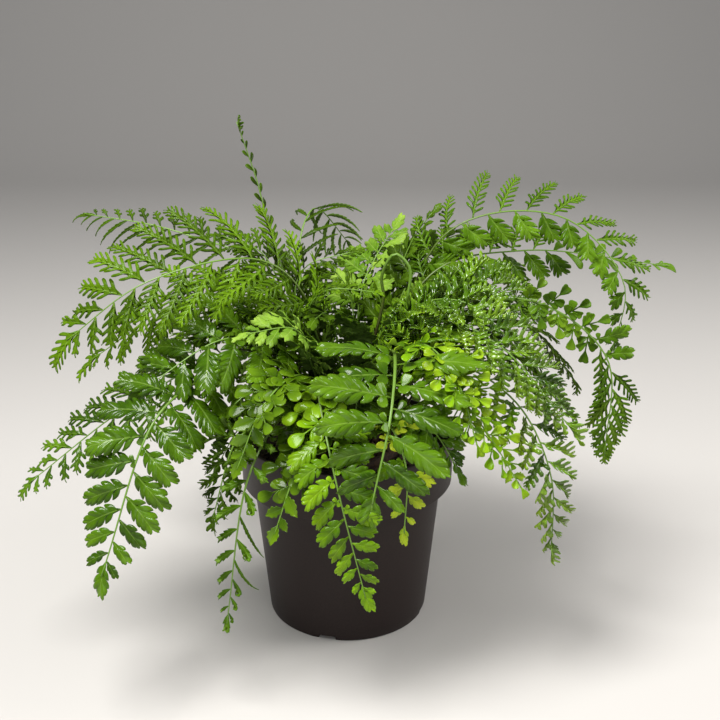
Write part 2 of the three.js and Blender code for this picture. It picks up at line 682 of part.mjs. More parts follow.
function makeFrond(frond, stations, placed) {
  const [name, formName, , longest, pairs] = frond;
  const form = forms[formName];
  const sizes = ribSizes(frond, stations);
  const skin = new Skin();
  const edges = ribEdges(skin, stations, sizes, 0);
  const first = stations.length - 1 - pairs;
  const foot = edges[0];
  skin.triangle(foot.right, foot.left, foot.left + 1, false);
  skin.triangle(foot.right, foot.left + 1, foot.right + 1, false);
  for (let i = 0; i + 1 < edges.length; i += 1) {
    ribFaces(skin, edges[i], edges[i + 1]);
    for (const [side, edge] of [[1, "right"], [-1, "left"]]) {
      const grown = i >= first && growLeaflet(i, side, edge);
      if (!grown) {
        skin.wall(edges[i][edge], edges[i + 1][edge], side < 0);
      }
    }
  }
  endFrond();
  return skin.geometry();

  function growLeaflet(i, side, edge) {
    const share = side > 0 ? 0.36 : 0.64;
    const frame = stations[i];
    const from = frame.centre.clone().addScaledVector(frame.side, (side * sizes[i].width) / 2);
    const next = stations[i + 1];
    const to = next.centre.clone().addScaledVector(next.side, (side * sizes[i + 1].width) / 2);
    const root = from.clone().lerp(to, share);
    const angle = THREE.MathUtils.lerp(baseAngle, tipAngle, frame.blade);
    const length = leafletLength(longest, frame.blade);
    const spacing = from.distanceTo(to) * Math.sin(radians(angle));
    const widest = Math.max(...form.outline.map(([, v]) => v));
    const width = Math.min(length, (spacing * 0.46) / widest);
    const corners = clearLeaflet(form, root, frame, side, length, width, angle, name, placed);
    if (!corners) {
      return false;
    }
    const step = to.clone().sub(from).normalize();
    const out = root.clone().addScaledVector(frame.side, side * neckOut);
    const low = skin.pair(out.clone().addScaledVector(step, -neckWidth / 2), frame.up, bladeThickness);
    const high = skin.pair(out.clone().addScaledVector(step, neckWidth / 2), frame.up, bladeThickness);
    const blade = corners.middles.map((middle) => skin.pair(middle, corners.up, bladeThickness));
    const all = [edges[i][edge], low, ...blade, high, edges[i + 1][edge]];
    const flat = all.map((corner) => flatten(skin.corners[corner], corners));
    skin.plate(all, flat, side < 0);
    return true;
  }

  // The last leaflet points on along the rib; a bare stalk ends flat.
  function endFrond() {
    const last = stations.length - 1;
    const edge = edges[last];
    if (form) {
      const length = leafletLength(longest, 0.72);
      const frame = stations[last];
      const corners = clearLeaflet(form, frame.centre, frame, 0, length, length, 0, name, placed);
      if (corners) {
        const blade = corners.middles.map((middle) => skin.pair(middle, corners.up, bladeThickness));
        const all = [edge.right, ...blade, edge.left];
        skin.plate(all, all.map((corner) => flatten(skin.corners[corner], corners)), false);
        return;
      }
    }
    skin.wall(edge.right, edge.left, false);
  }
}

// A plain stand-in for the pot's outside, which leaflets keep clear of.
function potFaces() {
  const clear = 2;
  const top = potHeight + clear;
  const ring = [];
  for (let i = 0; i <= soilSides; i += 1) {
    const angle = (i / soilSides) * 2 * Math.PI;
    ring.push(new THREE.Vector2(Math.cos(angle), Math.sin(angle)).multiplyScalar(rimRadius + clear));
  }
  const at = (point, height) => new THREE.Vector3(point.x, point.y, height);
  const faces = [];
  for (let i = 0; i < soilSides; i += 1) {
    faces.push([at(ring[i], 0), at(ring[i + 1], 0), at(ring[i + 1], top)]);
    faces.push([at(ring[i], 0), at(ring[i + 1], top), at(ring[i], top)]);
    faces.push([new THREE.Vector3(0, 0, top), at(ring[i], top), at(ring[i + 1], top)]);
  }
  return faces;
}

function addMesh(group, name, geometry, material) {
  const mesh = new THREE.Mesh(geometry, material);
  mesh.name = name;
  group.add(mesh);
}

const plant = new THREE.Group();
addMesh(plant, "pot", makePot(), materials.pot);
addMesh(plant, "soil", makeSoil(), materials.soil);
addMesh(plant, "crown", makeCrown(), materials.crown);

const placed = new Neighbourhood(12);
placed.add(potFaces(), "pot");
const allStations = fronds.map(stationsOf);
fronds.forEach((frond, i) => {
  placed.add(testRib(allStations[i], ribSizes(frond, allStations[i])), frond[0]);
});
fronds.forEach((frond, i) => {
  const form = forms[frond[1]] ?? forms.fine;
  const material = new THREE.MeshStandardMaterial({
    color: form.colour,
    roughness: form.roughness,
    metalness: 0,
  });
  addMesh(plant, `frond_${frond[0]}`, makeFrond(frond, allStations[i], placed), material);
});

export default plant;
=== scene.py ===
import math
import random

import bmesh
import bpy
import numpy as np
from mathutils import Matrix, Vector


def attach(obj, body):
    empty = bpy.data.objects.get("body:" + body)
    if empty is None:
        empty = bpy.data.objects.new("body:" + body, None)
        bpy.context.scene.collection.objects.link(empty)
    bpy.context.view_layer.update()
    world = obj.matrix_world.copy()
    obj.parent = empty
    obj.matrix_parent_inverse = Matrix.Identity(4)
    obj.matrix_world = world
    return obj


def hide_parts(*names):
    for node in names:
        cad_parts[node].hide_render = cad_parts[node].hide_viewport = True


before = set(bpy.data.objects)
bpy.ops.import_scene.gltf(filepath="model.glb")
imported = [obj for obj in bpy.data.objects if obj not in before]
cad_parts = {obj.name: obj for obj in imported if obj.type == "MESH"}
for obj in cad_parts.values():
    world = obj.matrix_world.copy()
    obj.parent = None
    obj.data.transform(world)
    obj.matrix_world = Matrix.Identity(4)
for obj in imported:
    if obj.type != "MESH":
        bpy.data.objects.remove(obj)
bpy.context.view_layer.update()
mm = 0.001
print("frame loaded")


# camera, floor and light

cameraLook = {"place": (0.0073, -0.579, 0.3546), "tiltDown": 19.3, "lens": 55.0}
floorLook = {
    "size": 4.0, "back": 1.4, "height": 1.6, "bend": 0.7, "bendSteps": 12, "colour": (0.56, 0.54, 0.52),
    "roughness": 0.85,
}
# place, size, watts and colour of each light
lightLook = {
    "keyLight": ((-0.3, -0.3, 1.1), 0.55, 19.0, (1.0, 0.99, 0.96)),
    "rightLight": ((0.95, 0.05, 0.75), 0.6, 7.0, (1.0, 0.98, 0.95)),
    "frontLight": ((0.1, -1.3, 0.6), 1.0, 4.0, (1.0, 1.0, 1.0)),
}
lightAim = (0.0, 0.0, 0.15)
worldLook = {"colour": (0.93, 0.96, 1.0), "strength": 0.22}


def addObject(name, data):
    piece = bpy.data.objects.new(name, data)
    bpy.context.scene.collection.objects.link(piece)
    return piece


def setInputs(node, values):
    for label, value in values.items():
        node.inputs[label].default_value = value


def makeCamera():
    data = bpy.data.cameras.new("photoCamera")
    data.lens = cameraLook["lens"]
    data.sensor_width = 36.0
    data.clip_start = 0.01
    camera = addObject("photoCamera", data)
    camera.location = cameraLook["place"]
    camera.rotation_euler = (math.radians(90.0 - cameraLook["tiltDown"]), 0.0, 0.0)
    bpy.context.scene.camera = camera


def makeLights():
    for name, (place, size, watts, colour) in lightLook.items():
        data = bpy.data.lights.new(name, "AREA")
        data.shape = "DISK"
        data.size = size
        data.energy = watts
        data.color = colour
        light = addObject(name, data)
        light.location = place
        aim = Vector(lightAim) - Vector(place)
        light.rotation_euler = aim.to_track_quat("-Z", "Y").to_euler()
    world = bpy.data.worlds.new("studio")
    world.use_nodes = True
    back = world.node_tree.nodes["Background"]
    setInputs(back, {"Color": (*worldLook["colour"], 1.0), "Strength": worldLook["strength"]})
    bpy.context.scene.world = world


def makeStage():
    # a pale sheet: flat under the plant, then bending up behind it
    half, back, bend = floorLook["size"] / 2, floorLook["back"], floorLook["bend"]
    run = [(-floorLook["size"], 0.0), (back, 0.0)]
    for i in range(1, floorLook["bendSteps"] + 1):
        turn = i / floorLook["bendSteps"] * math.pi / 2
        run.append((back + bend * math.sin(turn), bend * (1 - math.cos(turn))))
    run.append((back + bend, bend + floorLook["height"]))
    verts = []
    for y, z in run:
        verts += [(-half, y, z), (half, y, z)]
    faces = [(2 * i, 2 * i + 1, 2 * i + 3, 2 * i + 2) for i in range(len(run) - 1)]
    mesh = bpy.data.meshes.new("floor")
    mesh.from_pydata(verts, [], faces)
    mesh.shade_smooth()
    floor = addObject("floor", mesh)
    material = bpy.data.materials.new("paleFloor")
    material.use_nodes = True
    shader = material.node_tree.nodes["Principled BSDF"]
    setInputs(shader, {"Base Color": (*floorLook["colour"], 1.0), "Roughness": floorLook["roughness"]})
    mesh.materials.append(material)


makeCamera()
makeLights()
makeStage()
bpy.context.scene.view_settings.view_transform = "Standard"
print("camera, light and floor made")


# node helpers and shared groups

def hexColour(text):
    # a screen colour such as "5f9e32" as linear red, green, blue, alpha
    parts = [int(text[i:i + 2], 16) / 255 for i in (0, 2, 4)]
    linear = [p / 12.92 if p <= 0.04045 else ((p + 0.055) / 1.055) ** 2.4 for p in parts]
    return (*linear, 1.0)


def addNode(tree, kind, place=(0, 0), **settings):
    node = tree.nodes.new(kind)
    node.location = place
    for key, value in settings.items():
        setattr(node, key, value)
    return node


def mathNode(tree, operation, first, second=None, place=(0, 0)):
    node = addNode(tree, "ShaderNodeMath", place, operation=operation)
    for socket, value in zip(node.inputs, (first, second)):
        if value is None:
            continue
        if isinstance(value, (int, float)):
            socket.default_value = value
        else:
            tree.links.new(value, socket)
    return node.outputs[0]


def times(tree, first, second):
    return mathNode(tree, "MULTIPLY", first, second)


def mixColour(tree, share, first, second, blend="MIX", place=(0, 0)):
    node = addNode(tree, "ShaderNodeMix", place, data_type="RGBA", blend_type=blend)
    for socket, value in ((node.inputs[0], share), (node.inputs[6], first), (node.inputs[7], second)):
        if isinstance(value, (int, float, tuple)):
            socket.default_value = value
        else:
            tree.links.new(value, socket)
    return node.outputs[2]


def weightedSum(tree, *parts):
    # the parts are pairs of a value and its share
    total = None
    for value, share in parts:
        weighted = times(tree, value, share)
        total = weighted if total is None else mathNode(tree, "ADD", total, weighted)
    return total


def mapRange(tree, value, fromLow, fromHigh, toLow=0.0, toHigh=1.0, place=(0, 0)):
    node = addNode(tree, "ShaderNodeMapRange", place)
    node.interpolation_type = "SMOOTHSTEP"
    tree.links.new(value, node.inputs[0])
    for i, number in enumerate((fromLow, fromHigh, toLow, toHigh)):
        node.inputs[i + 1].default_value = number
    return node.outputs[0]


def startGroup(name, inputs, outputs):
    # inputs are labels with their usual values; "Colour" is a colour and other outputs are numbers
    group = bpy.data.node_groups.new(name, "ShaderNodeTree")
    for label, value in inputs.items():
        kind = "NodeSocketColor" if isinstance(value, tuple) else "NodeSocketFloat"
        socket = group.interface.new_socket(label, in_out="INPUT", socket_type=kind)
        socket.default_value = value
    for label in outputs:
        kind = "NodeSocketColor" if label == "Colour" else "NodeSocketFloat"
        group.interface.new_socket(label, in_out="OUTPUT", socket_type=kind)
    start = addNode(group, "NodeGroupInput", (-1400, 0))
    end = addNode(group, "NodeGroupOutput", (600, 0))
    return group, start.outputs, end.inputs


def attribute(tree, name, place=(0, 0)):
    return addNode(tree, "ShaderNodeAttribute", place, attribute_name=name).outputs["Fac"]


def noise(tree, scale, detail=2.0, place=(0, 0)):
    where = addNode(tree, "ShaderNodeTexCoord", (place[0] - 200, place[1]))
    node = addNode(tree, "ShaderNodeTexNoise", place)
    setInputs(node, {"Scale": scale, "Detail": detail})
    tree.links.new(where.outputs["Object"], node.inputs["Vector"])
    return node.outputs["Fac"]


# stored at the points of every leaflet: its own tone, the places along it, across it and within
# a segment, and the share of yellow
pointValues = ("tone", "along", "across", "lobe", "yellow")
tissueLook = {
    "mottleScale": 320.0, "patchScale": 60.0, "edgeShare": 0.2, "paleVein": (0.42, 0.58, 0.16, 1.0),
    "gold": (0.46, 0.56, 0.03, 1.0), "roughnessSpread": 0.24,
}


def makeLeafGroup():
    # leaf tissue: mottled greens, a pale midrib, veins, a bright edge and yellowing tips
    group, given, out = startGroup(
        "leafTissue",
        {
            "Deep": (0.03, 0.12, 0.01, 1), "Main": (0.1, 0.3, 0.03, 1), "Fresh": (0.3, 0.55, 0.06, 1),
            "Vein share": 0.3,
        },
        ("Colour", "Height", "Roughness shift"),
    )
    tone, along, across, lobe, yellow = [
        attribute(group, key, (-1200, 300 - 150 * i)) for i, key in enumerate(pointValues)
    ]
    mottle = noise(group, tissueLook["mottleScale"], 3.0, (-1000, 500))
    patch = noise(group, tissueLook["patchScale"], 2.0, (-1000, 700))

    # deep to main by patches, the fine mottle and the leaflet's own tone
    shade = weightedSum(group, (patch, 0.45), (mottle, 0.35), (tone, 0.5))
    body = mixColour(group, mapRange(group, shade, 0.3, 0.95), given["Deep"], given["Main"])

    # fresher towards the tips and edges
    fresh = weightedSum(group, (along, 0.3), (tone, 0.4), (patch, 0.3))
    body = mixColour(group, mapRange(group, fresh, 0.3, 1.05), body, given["Fresh"])
    edge = times(group, mapRange(group, across, 0.86, 1.0), tissueLook["edgeShare"])
    body = mixColour(group, edge, body, given["Fresh"])

    # midrib, and a vein in each segment that fades towards the edge
    midrib = mapRange(group, across, 0.1, 0.02)
    vein = times(group, mapRange(group, lobe, 0.16, 0.03), mapRange(group, across, 0.95, 0.6))
    veins = mathNode(group, "MAXIMUM", times(group, vein, 0.6), midrib)
    veinShare = times(group, veins, given["Vein share"])
    pale = mixColour(group, 0.4, given["Fresh"], tissueLook["paleVein"])
    body = mixColour(group, veinShare, body, pale)

    gold = times(group, yellow, mapRange(group, along, 0.0, 0.9, 0.35, 1.0))
    body = mixColour(group, gold, body, tissueLook["gold"])
    group.links.new(body, out["Colour"])
    height = mathNode(group, "SUBTRACT", times(group, mottle, 0.3), veins)
    group.links.new(height, out["Height"])
    spread = tissueLook["roughnessSpread"]
    shift = mathNode(group, "SUBTRACT", times(group, patch, spread), spread / 2)
    group.links.new(shift, out["Roughness shift"])
    return group


def makeSpeckGroup():
    # fine grain with sparse pale specks, for plastic, bark and earth
    group, given, out = startGroup(
        "speckle",
        {
            "Dark": (0.02, 0.02, 0.02, 1), "Light": (0.05, 0.05, 0.05, 1), "Speck": (0.2, 0.2, 0.2, 1),
            "Grain": 300.0, "Speck share": 0.2,
        },
        ("Colour", "Height", "Mask"),
    )
    where = addNode(group, "ShaderNodeTexCoord", (-1300, 300))
    grain = addNode(group, "ShaderNodeTexNoise", (-1000, 300))
    broad = addNode(group, "ShaderNodeTexNoise", (-1000, 0))
    cells = addNode(group, "ShaderNodeTexVoronoi", (-1000, -300))
    grain.inputs["Detail"].default_value = 6.0
    broad.inputs["Scale"].default_value = 22.0
    for node in (grain, broad, cells):
        group.links.new(where.outputs["Object"], node.inputs["Vector"])
    group.links.new(given["Grain"], grain.inputs["Scale"])
    group.links.new(times(group, given["Grain"], 1.6), cells.inputs["Scale"])
    both = weightedSum(group, (grain.outputs["Fac"], 0.7), (broad.outputs["Fac"], 0.3))
    tone = mapRange(group, both, 0.35, 0.65)
    body = mixColour(group, tone, given["Dark"], given["Light"])
    speck = mapRange(group, cells.outputs["Distance"], 0.2, 0.05)
    speck = times(group, speck, given["Speck share"])
    speck = times(group, speck, mapRange(group, broad.outputs["Fac"], 0.45, 0.6))
    group.links.new(mixColour(group, speck, body, given["Speck"]), out["Colour"])
    group.links.new(grain.outputs["Fac"], out["Height"])
    group.links.new(tone, out["Mask"])
    return group


leafGroup = makeLeafGroup()
speckGroup = makeSpeckGroup()


def startMaterial(name):
    material = bpy.data.materials.new(name)
    material.use_nodes = True
    tree = material.node_tree
    return material, tree, tree.nodes["Principled BSDF"]


def placeGroup(tree, group, values, place=(-500, 0)):
    node = addNode(tree, "ShaderNodeGroup", place, node_tree=group)
    setInputs(node, values)
    return node


def bumpFrom(tree, height, strength, distance, shader):
    bump = addNode(tree, "ShaderNodeBump", (-200, -300))
    setInputs(bump, {"Strength": strength, "Distance": distance})
    tree.links.new(height, bump.inputs["Height"])
    tree.links.new(bump.outputs["Normal"], shader.inputs["Normal"])


def makeGrainyMaterial(name, look):
    # for the pot, the soil and the crown
    material, tree, shader = startMaterial(name)
    grain = placeGroup(tree, speckGroup, {
        "Dark": hexColour(look["dark"]), "Light": hexColour(look["light"]), "Speck": hexColour(look["speck"]),
        "Grain": look["grain"], "Speck share": look["speckShare"],
    })
    tree.links.new(grain.outputs["Colour"], shader.inputs["Base Color"])
    shader.inputs["Roughness"].default_value = look["roughness"]
    if "roughnessSpread" in look:
        uneven = times(tree, grain.outputs["Mask"], look["roughnessSpread"])
        rough = mathNode(tree, "ADD", uneven, look["roughness"], (-300, -200))
        tree.links.new(rough, shader.inputs["Roughness"])
    if "specular" in look:
        shader.inputs["Specular IOR Level"].default_value = look["specular"]
    bumpFrom(tree, grain.outputs["Height"], look["bump"], look["bumpDepth"], shader)
    return material


# deep, main and fresh greens of each finish, vein share, roughness and coat of the upper face
leafFinishes = {
    "feather": ("2c4204", "4d7007", "6f9414", 0.25, 0.42, 0.1),
    # this finish's darker greens are painted shade, for the fronds that sit inside and behind the plant's
    # mass
    "deep": ("1d2c03", "355006", "587814", 0.25, 0.42, 0.08),
    "broad": ("264003", "466b07", "688c1a", 0.3, 0.3, 0.35),
    "round": ("1e3202", "3c5c06", "72941a", 0.2, 0.3, 0.25),
    "lime": ("34520a", "5f8a06", "8cb616", 0.2, 0.32, 0.25),
    "gloss": ("294404", "527c0c", "88aa24", 0.2, 0.22, 0.9),
    "fresh": ("2a4204", "4a700a", "6c9020", 0.25, 0.36, 0.12),
    "pale": ("466a12", "70942a", "9cb850", 0.25, 0.42, 0.08),
}
leafSurface = {
    "underTint": (0.22, 0.34, 0.09, 1.0), "underShare": 0.25, "underRoughness": 0.2, "coatRoughness": 0.15,
    "specular": 0.03, "through": 0.1, "throughRadius": (0.7, 1.0, 0.1), "throughScale": 0.001,
    "bump": 0.4, "bumpDepth": 0.0004,
}


def makeLeafMaterials(name):
    # the upper face, and the duller, paler lower face
    *greens, veinShare, roughness, coat = leafFinishes[name]
    surface = leafSurface
    made = []
    for face in ("Upper", "Under"):
        material, tree, shader = startMaterial(name + face)
        colours = [hexColour(green) for green in greens]
        if face == "Under":
            tint, share = surface["underTint"], surface["underShare"]
            colours = [tuple((1 - share) * c + share * t for c, t in zip(colour, tint)) for colour in colours]
        tissue = placeGroup(tree, leafGroup, {
            "Deep": colours[0], "Main": colours[1], "Fresh": colours[2], "Vein share": veinShare,
        })
        base = roughness if face == "Upper" else roughness + surface["underRoughness"]
        tree.links.new(tissue.outputs["Colour"], shader.inputs["Base Color"])
        rough = mathNode(tree, "ADD", tissue.outputs["Roughness shift"], base, (-300, -150))
        tree.links.new(rough, shader.inputs["Roughness"])
        setInputs(shader, {
            "Coat Weight": coat if face == "Upper" else 0.0, "Coat Roughness": surface["coatRoughness"],
            "Specular IOR Level": surface["specular"], "Subsurface Weight": surface["through"],
            "Subsurface Radius": surface["throughRadius"], "Subsurface Scale": surface["throughScale"],
        })
        bumpFrom(tree, tissue.outputs["Height"], surface["bump"], surface["bumpDepth"], shader)
        made.append(material)
    return made


stalkLook = {
    "foot": "2a190d", "middle": "465515", "top": "64882a", "roughness": 0.42, "streakScale": 900.0,
    "streakShare": 0.25, "bump": 0.3, "bumpDepth": 0.0003,
}


def makeStalkMaterial():
    # brown at the foot and green above, with faint streaks
    material, tree, shader = startMaterial("stalkGreen")
    foot, middle, top = [hexColour(stalkLook[key]) for key in ("foot", "middle", "top")]
    place = attribute(tree, "along", (-1100, 100))
    streak = noise(tree, stalkLook["streakScale"], 2.0, (-1100, -200))
    sway = times(tree, mathNode(tree, "SUBTRACT", streak, 0.5), stalkLook["streakShare"])
    rise = mathNode(tree, "ADD", place, sway)
    low = mixColour(tree, mapRange(tree, rise, 0.1, 0.38), foot, middle)
    full = mixColour(tree, mapRange(tree, rise, 0.3, 0.65), low, top)
    tree.links.new(full, shader.inputs["Base Color"])
    shader.inputs["Roughness"].default_value = stalkLook["roughness"]
    bumpFrom(tree, streak, stalkLook["bump"], stalkLook["bumpDepth"], shader)
    return material


leafMaterials = {name: makeLeafMaterials(name) for name in leafFinishes}
stalkMaterial = makeStalkMaterial()
print("leaf and stalk finishes made")


# mesh building blocks: quads and points, gathered in one shape per piece

def newShape():
    shape = {"verts": [], "faces": [], "slots": [], "count": 0}
    shape.update({key: [] for key in pointValues})
    return shape


def addPart(shape, verts, faces, slots, **values):
    count = len(verts)
    shape["verts"].append(verts)
    shape["faces"].append(faces + shape["count"])
    shape["slots"].append(np.broadcast_to(slots, (len(faces),)))
    for key in pointValues:
        shape[key].append(np.broadcast_to(np.asarray(values.get(key, 0.0), float), (count,)))
    shape["count"] += count


sheetCache = {}


def sheetFaces(rows, columns):
    # faces of a thin closed sheet: an upper grid, a lower grid and the wall round them
    if (rows, columns) in sheetCache:
        return sheetCache[rows, columns]
    index = np.arange(2 * rows * columns).reshape(2, rows, columns)
    top, low = index
    upper = np.stack([top[:-1, :-1], top[:-1, 1:], top[1:, 1:], top[1:, :-1]], -1).reshape(-1, 4)
    lower = np.stack([low[:-1, :-1], low[1:, :-1], low[1:, 1:], low[:-1, 1:]], -1).reshape(-1, 4)
    rim = np.concatenate([index[:, 0, :], index[:, 1:, -1], index[:, -1, -2::-1], index[:, -2:0:-1, 0]], 1)
    after = np.roll(rim, -1, 1)
    wall = np.stack([rim[0], rim[1], after[1], after[0]], -1)
    slots = np.concatenate([np.zeros(len(upper)), np.ones(len(lower)), np.zeros(len(wall))]).astype(int)
    sheetCache[rows, columns] = (np.concatenate([upper, lower, wall]), slots)
    return sheetCache[rows, columns]


def addSheet(shape, top, ups, thickness, **values):
    # top is a grid of points, ups the direction away from the lower face in each row
    rows, columns = top.shape[:2]
    low = top - ups[:, None, :] * thickness
    faces, slots = sheetFaces(rows, columns)
    both = {key: np.broadcast_to(value, (2, rows, columns)).ravel() for key, value in values.items()}
    addPart(shape, np.stack([top, low]).reshape(-1, 3), faces, slots, **both)


def unit(vectors):
    return vectors / np.maximum(np.linalg.norm(vectors, axis=-1, keepdims=True), 1e-9)


def addTube(shape, points, radii, sides, ups, along, corners, groove):
    # a stalk with a groove along its upper face, closed at both ends
    count = len(points)
    turns = (np.arange(corners) + 0.5) / corners * 2 * math.pi
    away = np.angle(np.exp(1j * (turns - math.pi / 2)))
    section = 1 - groove * np.exp(-(away / 0.5) ** 2)
    flat = sides[:, None, :] * (np.cos(turns) * section)[None, :, None]
    ring = flat + ups[:, None, :] * (0.9 * np.sin(turns) * section)[None, :, None]
    verts = (points[:, None, :] + ring * radii[:, None, None]).reshape(-1, 3)
    index = np.arange(count * corners).reshape(count, corners)
    after = np.roll(index, -1, 1)
    wall = np.stack([index[:-1], after[:-1], after[1:], index[1:]], -1).reshape(-1, 4)
    caps = []
    for ring, turn in ((index[0], -1), (index[-1], 1)):
        for i in range(corners // 2 - 1):
            caps.append([ring[-1 - i], ring[i], ring[i + 1], ring[-2 - i]][::turn])
    faces = np.concatenate([wall, np.array(caps)])
    addPart(shape, verts, faces, 2, along=np.repeat(along, corners), tone=0.5)


def finishShape(shape, name, materials):
    mesh = bpy.data.meshes.new(name)
    verts = np.concatenate(shape["verts"]) * mm
    faces = np.concatenate(shape["faces"])
    mesh.from_pydata(verts.tolist(), [], faces.tolist())
    mesh.polygons.foreach_set("material_index", np.concatenate(shape["slots"]).astype(np.int32))
    for key in pointValues:
        layer = mesh.attributes.new(key, "FLOAT", "POINT")
        layer.data.foreach_set("value", np.concatenate(shape[key]).astype(np.float32))
    for material in materials:
        mesh.materials.append(material)
    mesh.shade_smooth()
    mesh.update()
    return addObject(name, mesh)


# leaflets

# The outer edge of one segment: where each row of points stands between its lower and upper
# edge, and how far that row reaches.
segmentEdges = {
    "strap": ((0, 0), (0.12, 0), (0.18, 0.84), (0.36, 1), (0.64, 0.98), (0.8, 0.8), (0.86, 0)),
    "club": ((0, 0), (0.14, 0.1), (0.25, 0.82), (0.38, 0.97), (0.52, 1), (0.66, 0.92), (0.78, 0.72),
             (0.88, 0.1)),
    "spoon": ((0, 0), (0.05, 0.3), (0.2, 0.84), (0.5, 1), (0.8, 0.84), (0.95, 0.3)),
    "scallop": ((0, 0), (0.05, 0.45), (0.16, 0.8), (0.35, 0.97), (0.6, 1), (0.8, 0.9), (0.93, 0.55)),
    "saw": ((0, 0.1), (0.35, 0.6), (0.75, 1), (0.85, 0.7)),
    "toothed": ((0, 0), (0.04, 0.5), (0.1, 0.78), (0.17, 0.85), (0.21, 0.82), (0.27, 0.93), (0.36, 0.97),
                (0.41, 0.92), (0.47, 1), (0.57, 1), (0.62, 0.94), (0.7, 0.95), (0.78, 0.9), (0.82, 0.82),
                (0.9, 0.72), (0.96, 0.4)),
}

# How the leaflets of each form are cut, in millimetres and degrees. Two values, or two lists of
# shares and values, go from the leaflet's foot to its tip, and those of set along the frond.
# edge: of segmentEdges; spacing, fewest: of the segments; crowd: how they close up to the tip;
# stem: bare stalklet; reach: longest segment by leaflet length, and its limit; outline, depth,
# pinch: how far segments reach, how deep the gaps go and how narrow a segment's foot is; lobes:
# size of the free lobes at the foot, by leaflet length; angle: segments to midrib; set: leaflets
# to the rib; lift: out of the frond's plane; wing: least reach beside the midrib; tip: how far
# segments pass the end; fan: how they widen; fold, bend, cup, wave: shape of the two halves; curl,
# late: droop and how late it sets in; sweep: to the frond's end; turn, tilt: random twist of the
# leaflet and of its segments; columns: points across.
leafForms = {
    "fine": {
        "edge": "club", "spacing": 4.0, "fewest": 3, "crowd": 1.15, "stem": 1.4, "reach": (0.34, 9.0),
        "outline": ([0, 0.1, 0.35, 0.65, 0.88, 1], [0.85, 1, 1, 0.85, 0.55, 0.15]),
        "depth": ([0, 0.6, 1], [1, 0.95, 0.75]), "pinch": ([0, 1], [0.4, 0.66]), "lobes": 0,
        "angle": (50, 30), "set": (70, 50), "lift": 8, "wing": 0.6, "tip": 0.8, "fan": 0.0, "fold": 0.3,
        "bend": 0.45, "cup": 0.06, "wave": 0.0, "curl": 0.45, "late": 1.4, "sweep": 0.3, "turn": 0.35,
        "tilt": 0.26, "columns": 5,
    },
    "gloss": {
        "edge": "spoon", "spacing": 3.1, "fewest": 3, "crowd": 1.2, "stem": 1.0, "reach": (0.26, 5.8),
        "outline": ([0, 0.12, 0.35, 0.62, 0.85, 1], [0.8, 1, 1, 0.85, 0.55, 0.12]),
        "depth": ([0, 1], [1, 0.9]), "pinch": ([0, 1], [0.35, 0.6]), "lobes": 0, "angle": (58, 32),
        "set": (68, 44), "lift": 12, "wing": 0.4, "tip": 1.2, "fan": 0.0, "fold": 0.35, "bend": -0.4,
        "cup": 0.22, "wave": 0.2, "curl": 0.5, "late": 1.3, "sweep": 0.3, "turn": 0.9, "tilt": 0.4,
        "columns": 5,
    },
    "broad": {
        "edge": "toothed", "spacing": 5.6, "fewest": 4, "crowd": 1.1, "stem": 1.6, "reach": (0.27, 11.0),
        "outline": ([0, 0.1, 0.22, 0.36, 0.5, 0.72, 0.9, 1], [0.62, 0.72, 0.86, 1, 0.96, 0.7, 0.34, 0.12]),
        "depth": ([0, 0.12, 0.22, 0.36, 0.55, 1], [1, 0.95, 0.7, 0.45, 0.3, 0.2]),
        "pinch": ([0, 0.15, 0.4], [0.55, 0.65, 0.9]), "lobes": 0.24, "angle": (56, 28), "set": (96, 60),
        "lift": 14, "wing": 0.6, "tip": 1.6, "fan": 0.25, "fold": 0.12, "bend": 0.3, "cup": 0.07,
        "wave": 0.14, "curl": 0.22, "late": 1.6, "sweep": 0.2, "turn": 0.4, "tilt": 0.1, "columns": 7,
    },
    "sickle": {
        "edge": "saw", "spacing": 2.6, "fewest": 4, "crowd": 1.1, "stem": 1.0, "reach": (0.1, 2.2),
        "outline": ([0, 0.2, 0.6, 1], [0.7, 1, 0.8, 0.2]), "depth": ([0, 1], [0.6, 0.5]),
        "pinch": ([0, 1], [1, 1]), "lobes": 0, "angle": (50, 30), "set": (66, 42), "lift": 8,
        "wing": 0.6, "tip": 0.6, "fan": 0.0, "fold": 0.25, "bend": 0.0, "cup": 0.0, "wave": 0.0,
        "curl": 1.0, "late": 1.1, "sweep": 0.5, "turn": 0.35, "tilt": 0.16, "columns": 3,
    },
}
leafForms["slim"] = {
    **leafForms["fine"], "edge": "strap", "spacing": 3.8, "reach": (0.28, 6.4), "set": (62, 40), "lift": 4,
}
leafForms["comb"] = {
    **leafForms["fine"], "spacing": 3.3, "reach": (0.34, 7.0), "set": (74, 52), "curl": 0.3,
}
leafForms["drape"] = {**leafForms["comb"], "reach": (0.32, 6.4), "set": (46, 26), "curl": 0.5}
leafForms["leafy"] = {
    **leafForms["broad"], "edge": "scallop", "spacing": 3.7, "stem": 0.8, "reach": (0.35, 9.4),
    "outline": ([0, 0.12, 0.3, 0.5, 0.72, 0.9, 1], [0.7, 0.9, 1, 1, 0.84, 0.52, 0.2]),
    "depth": ([0, 0.14, 0.26, 0.42, 1], [1, 0.92, 0.6, 0.3, 0.18]), "set": (84, 50), "lift": 8,
    "curl": 0.3,
}
leafForms["fan"] = {
    **leafForms["broad"], "edge": "scallop", "spacing": 3.2, "stem": 1.0, "reach": (0.56, 8.6),
    "outline": ([0, 0.15, 0.4, 0.7, 1], [0.45, 0.85, 1, 0.8, 0.5]),
    "depth": ([0, 0.5, 1], [0.85, 0.6, 0.45]), "pinch": ([0, 1], [0.6, 0.9]), "lobes": 0,
    "set": (70, 50), "lift": -20, "fold": 0.2, "curl": 0.4, "turn": 0.6,
}
leafForms["twist"] = {
    **leafForms["gloss"], "spacing": 2.2, "reach": (0.34, 3.2), "lift": 26, "fold": 0.7, "curl": -0.9,
}
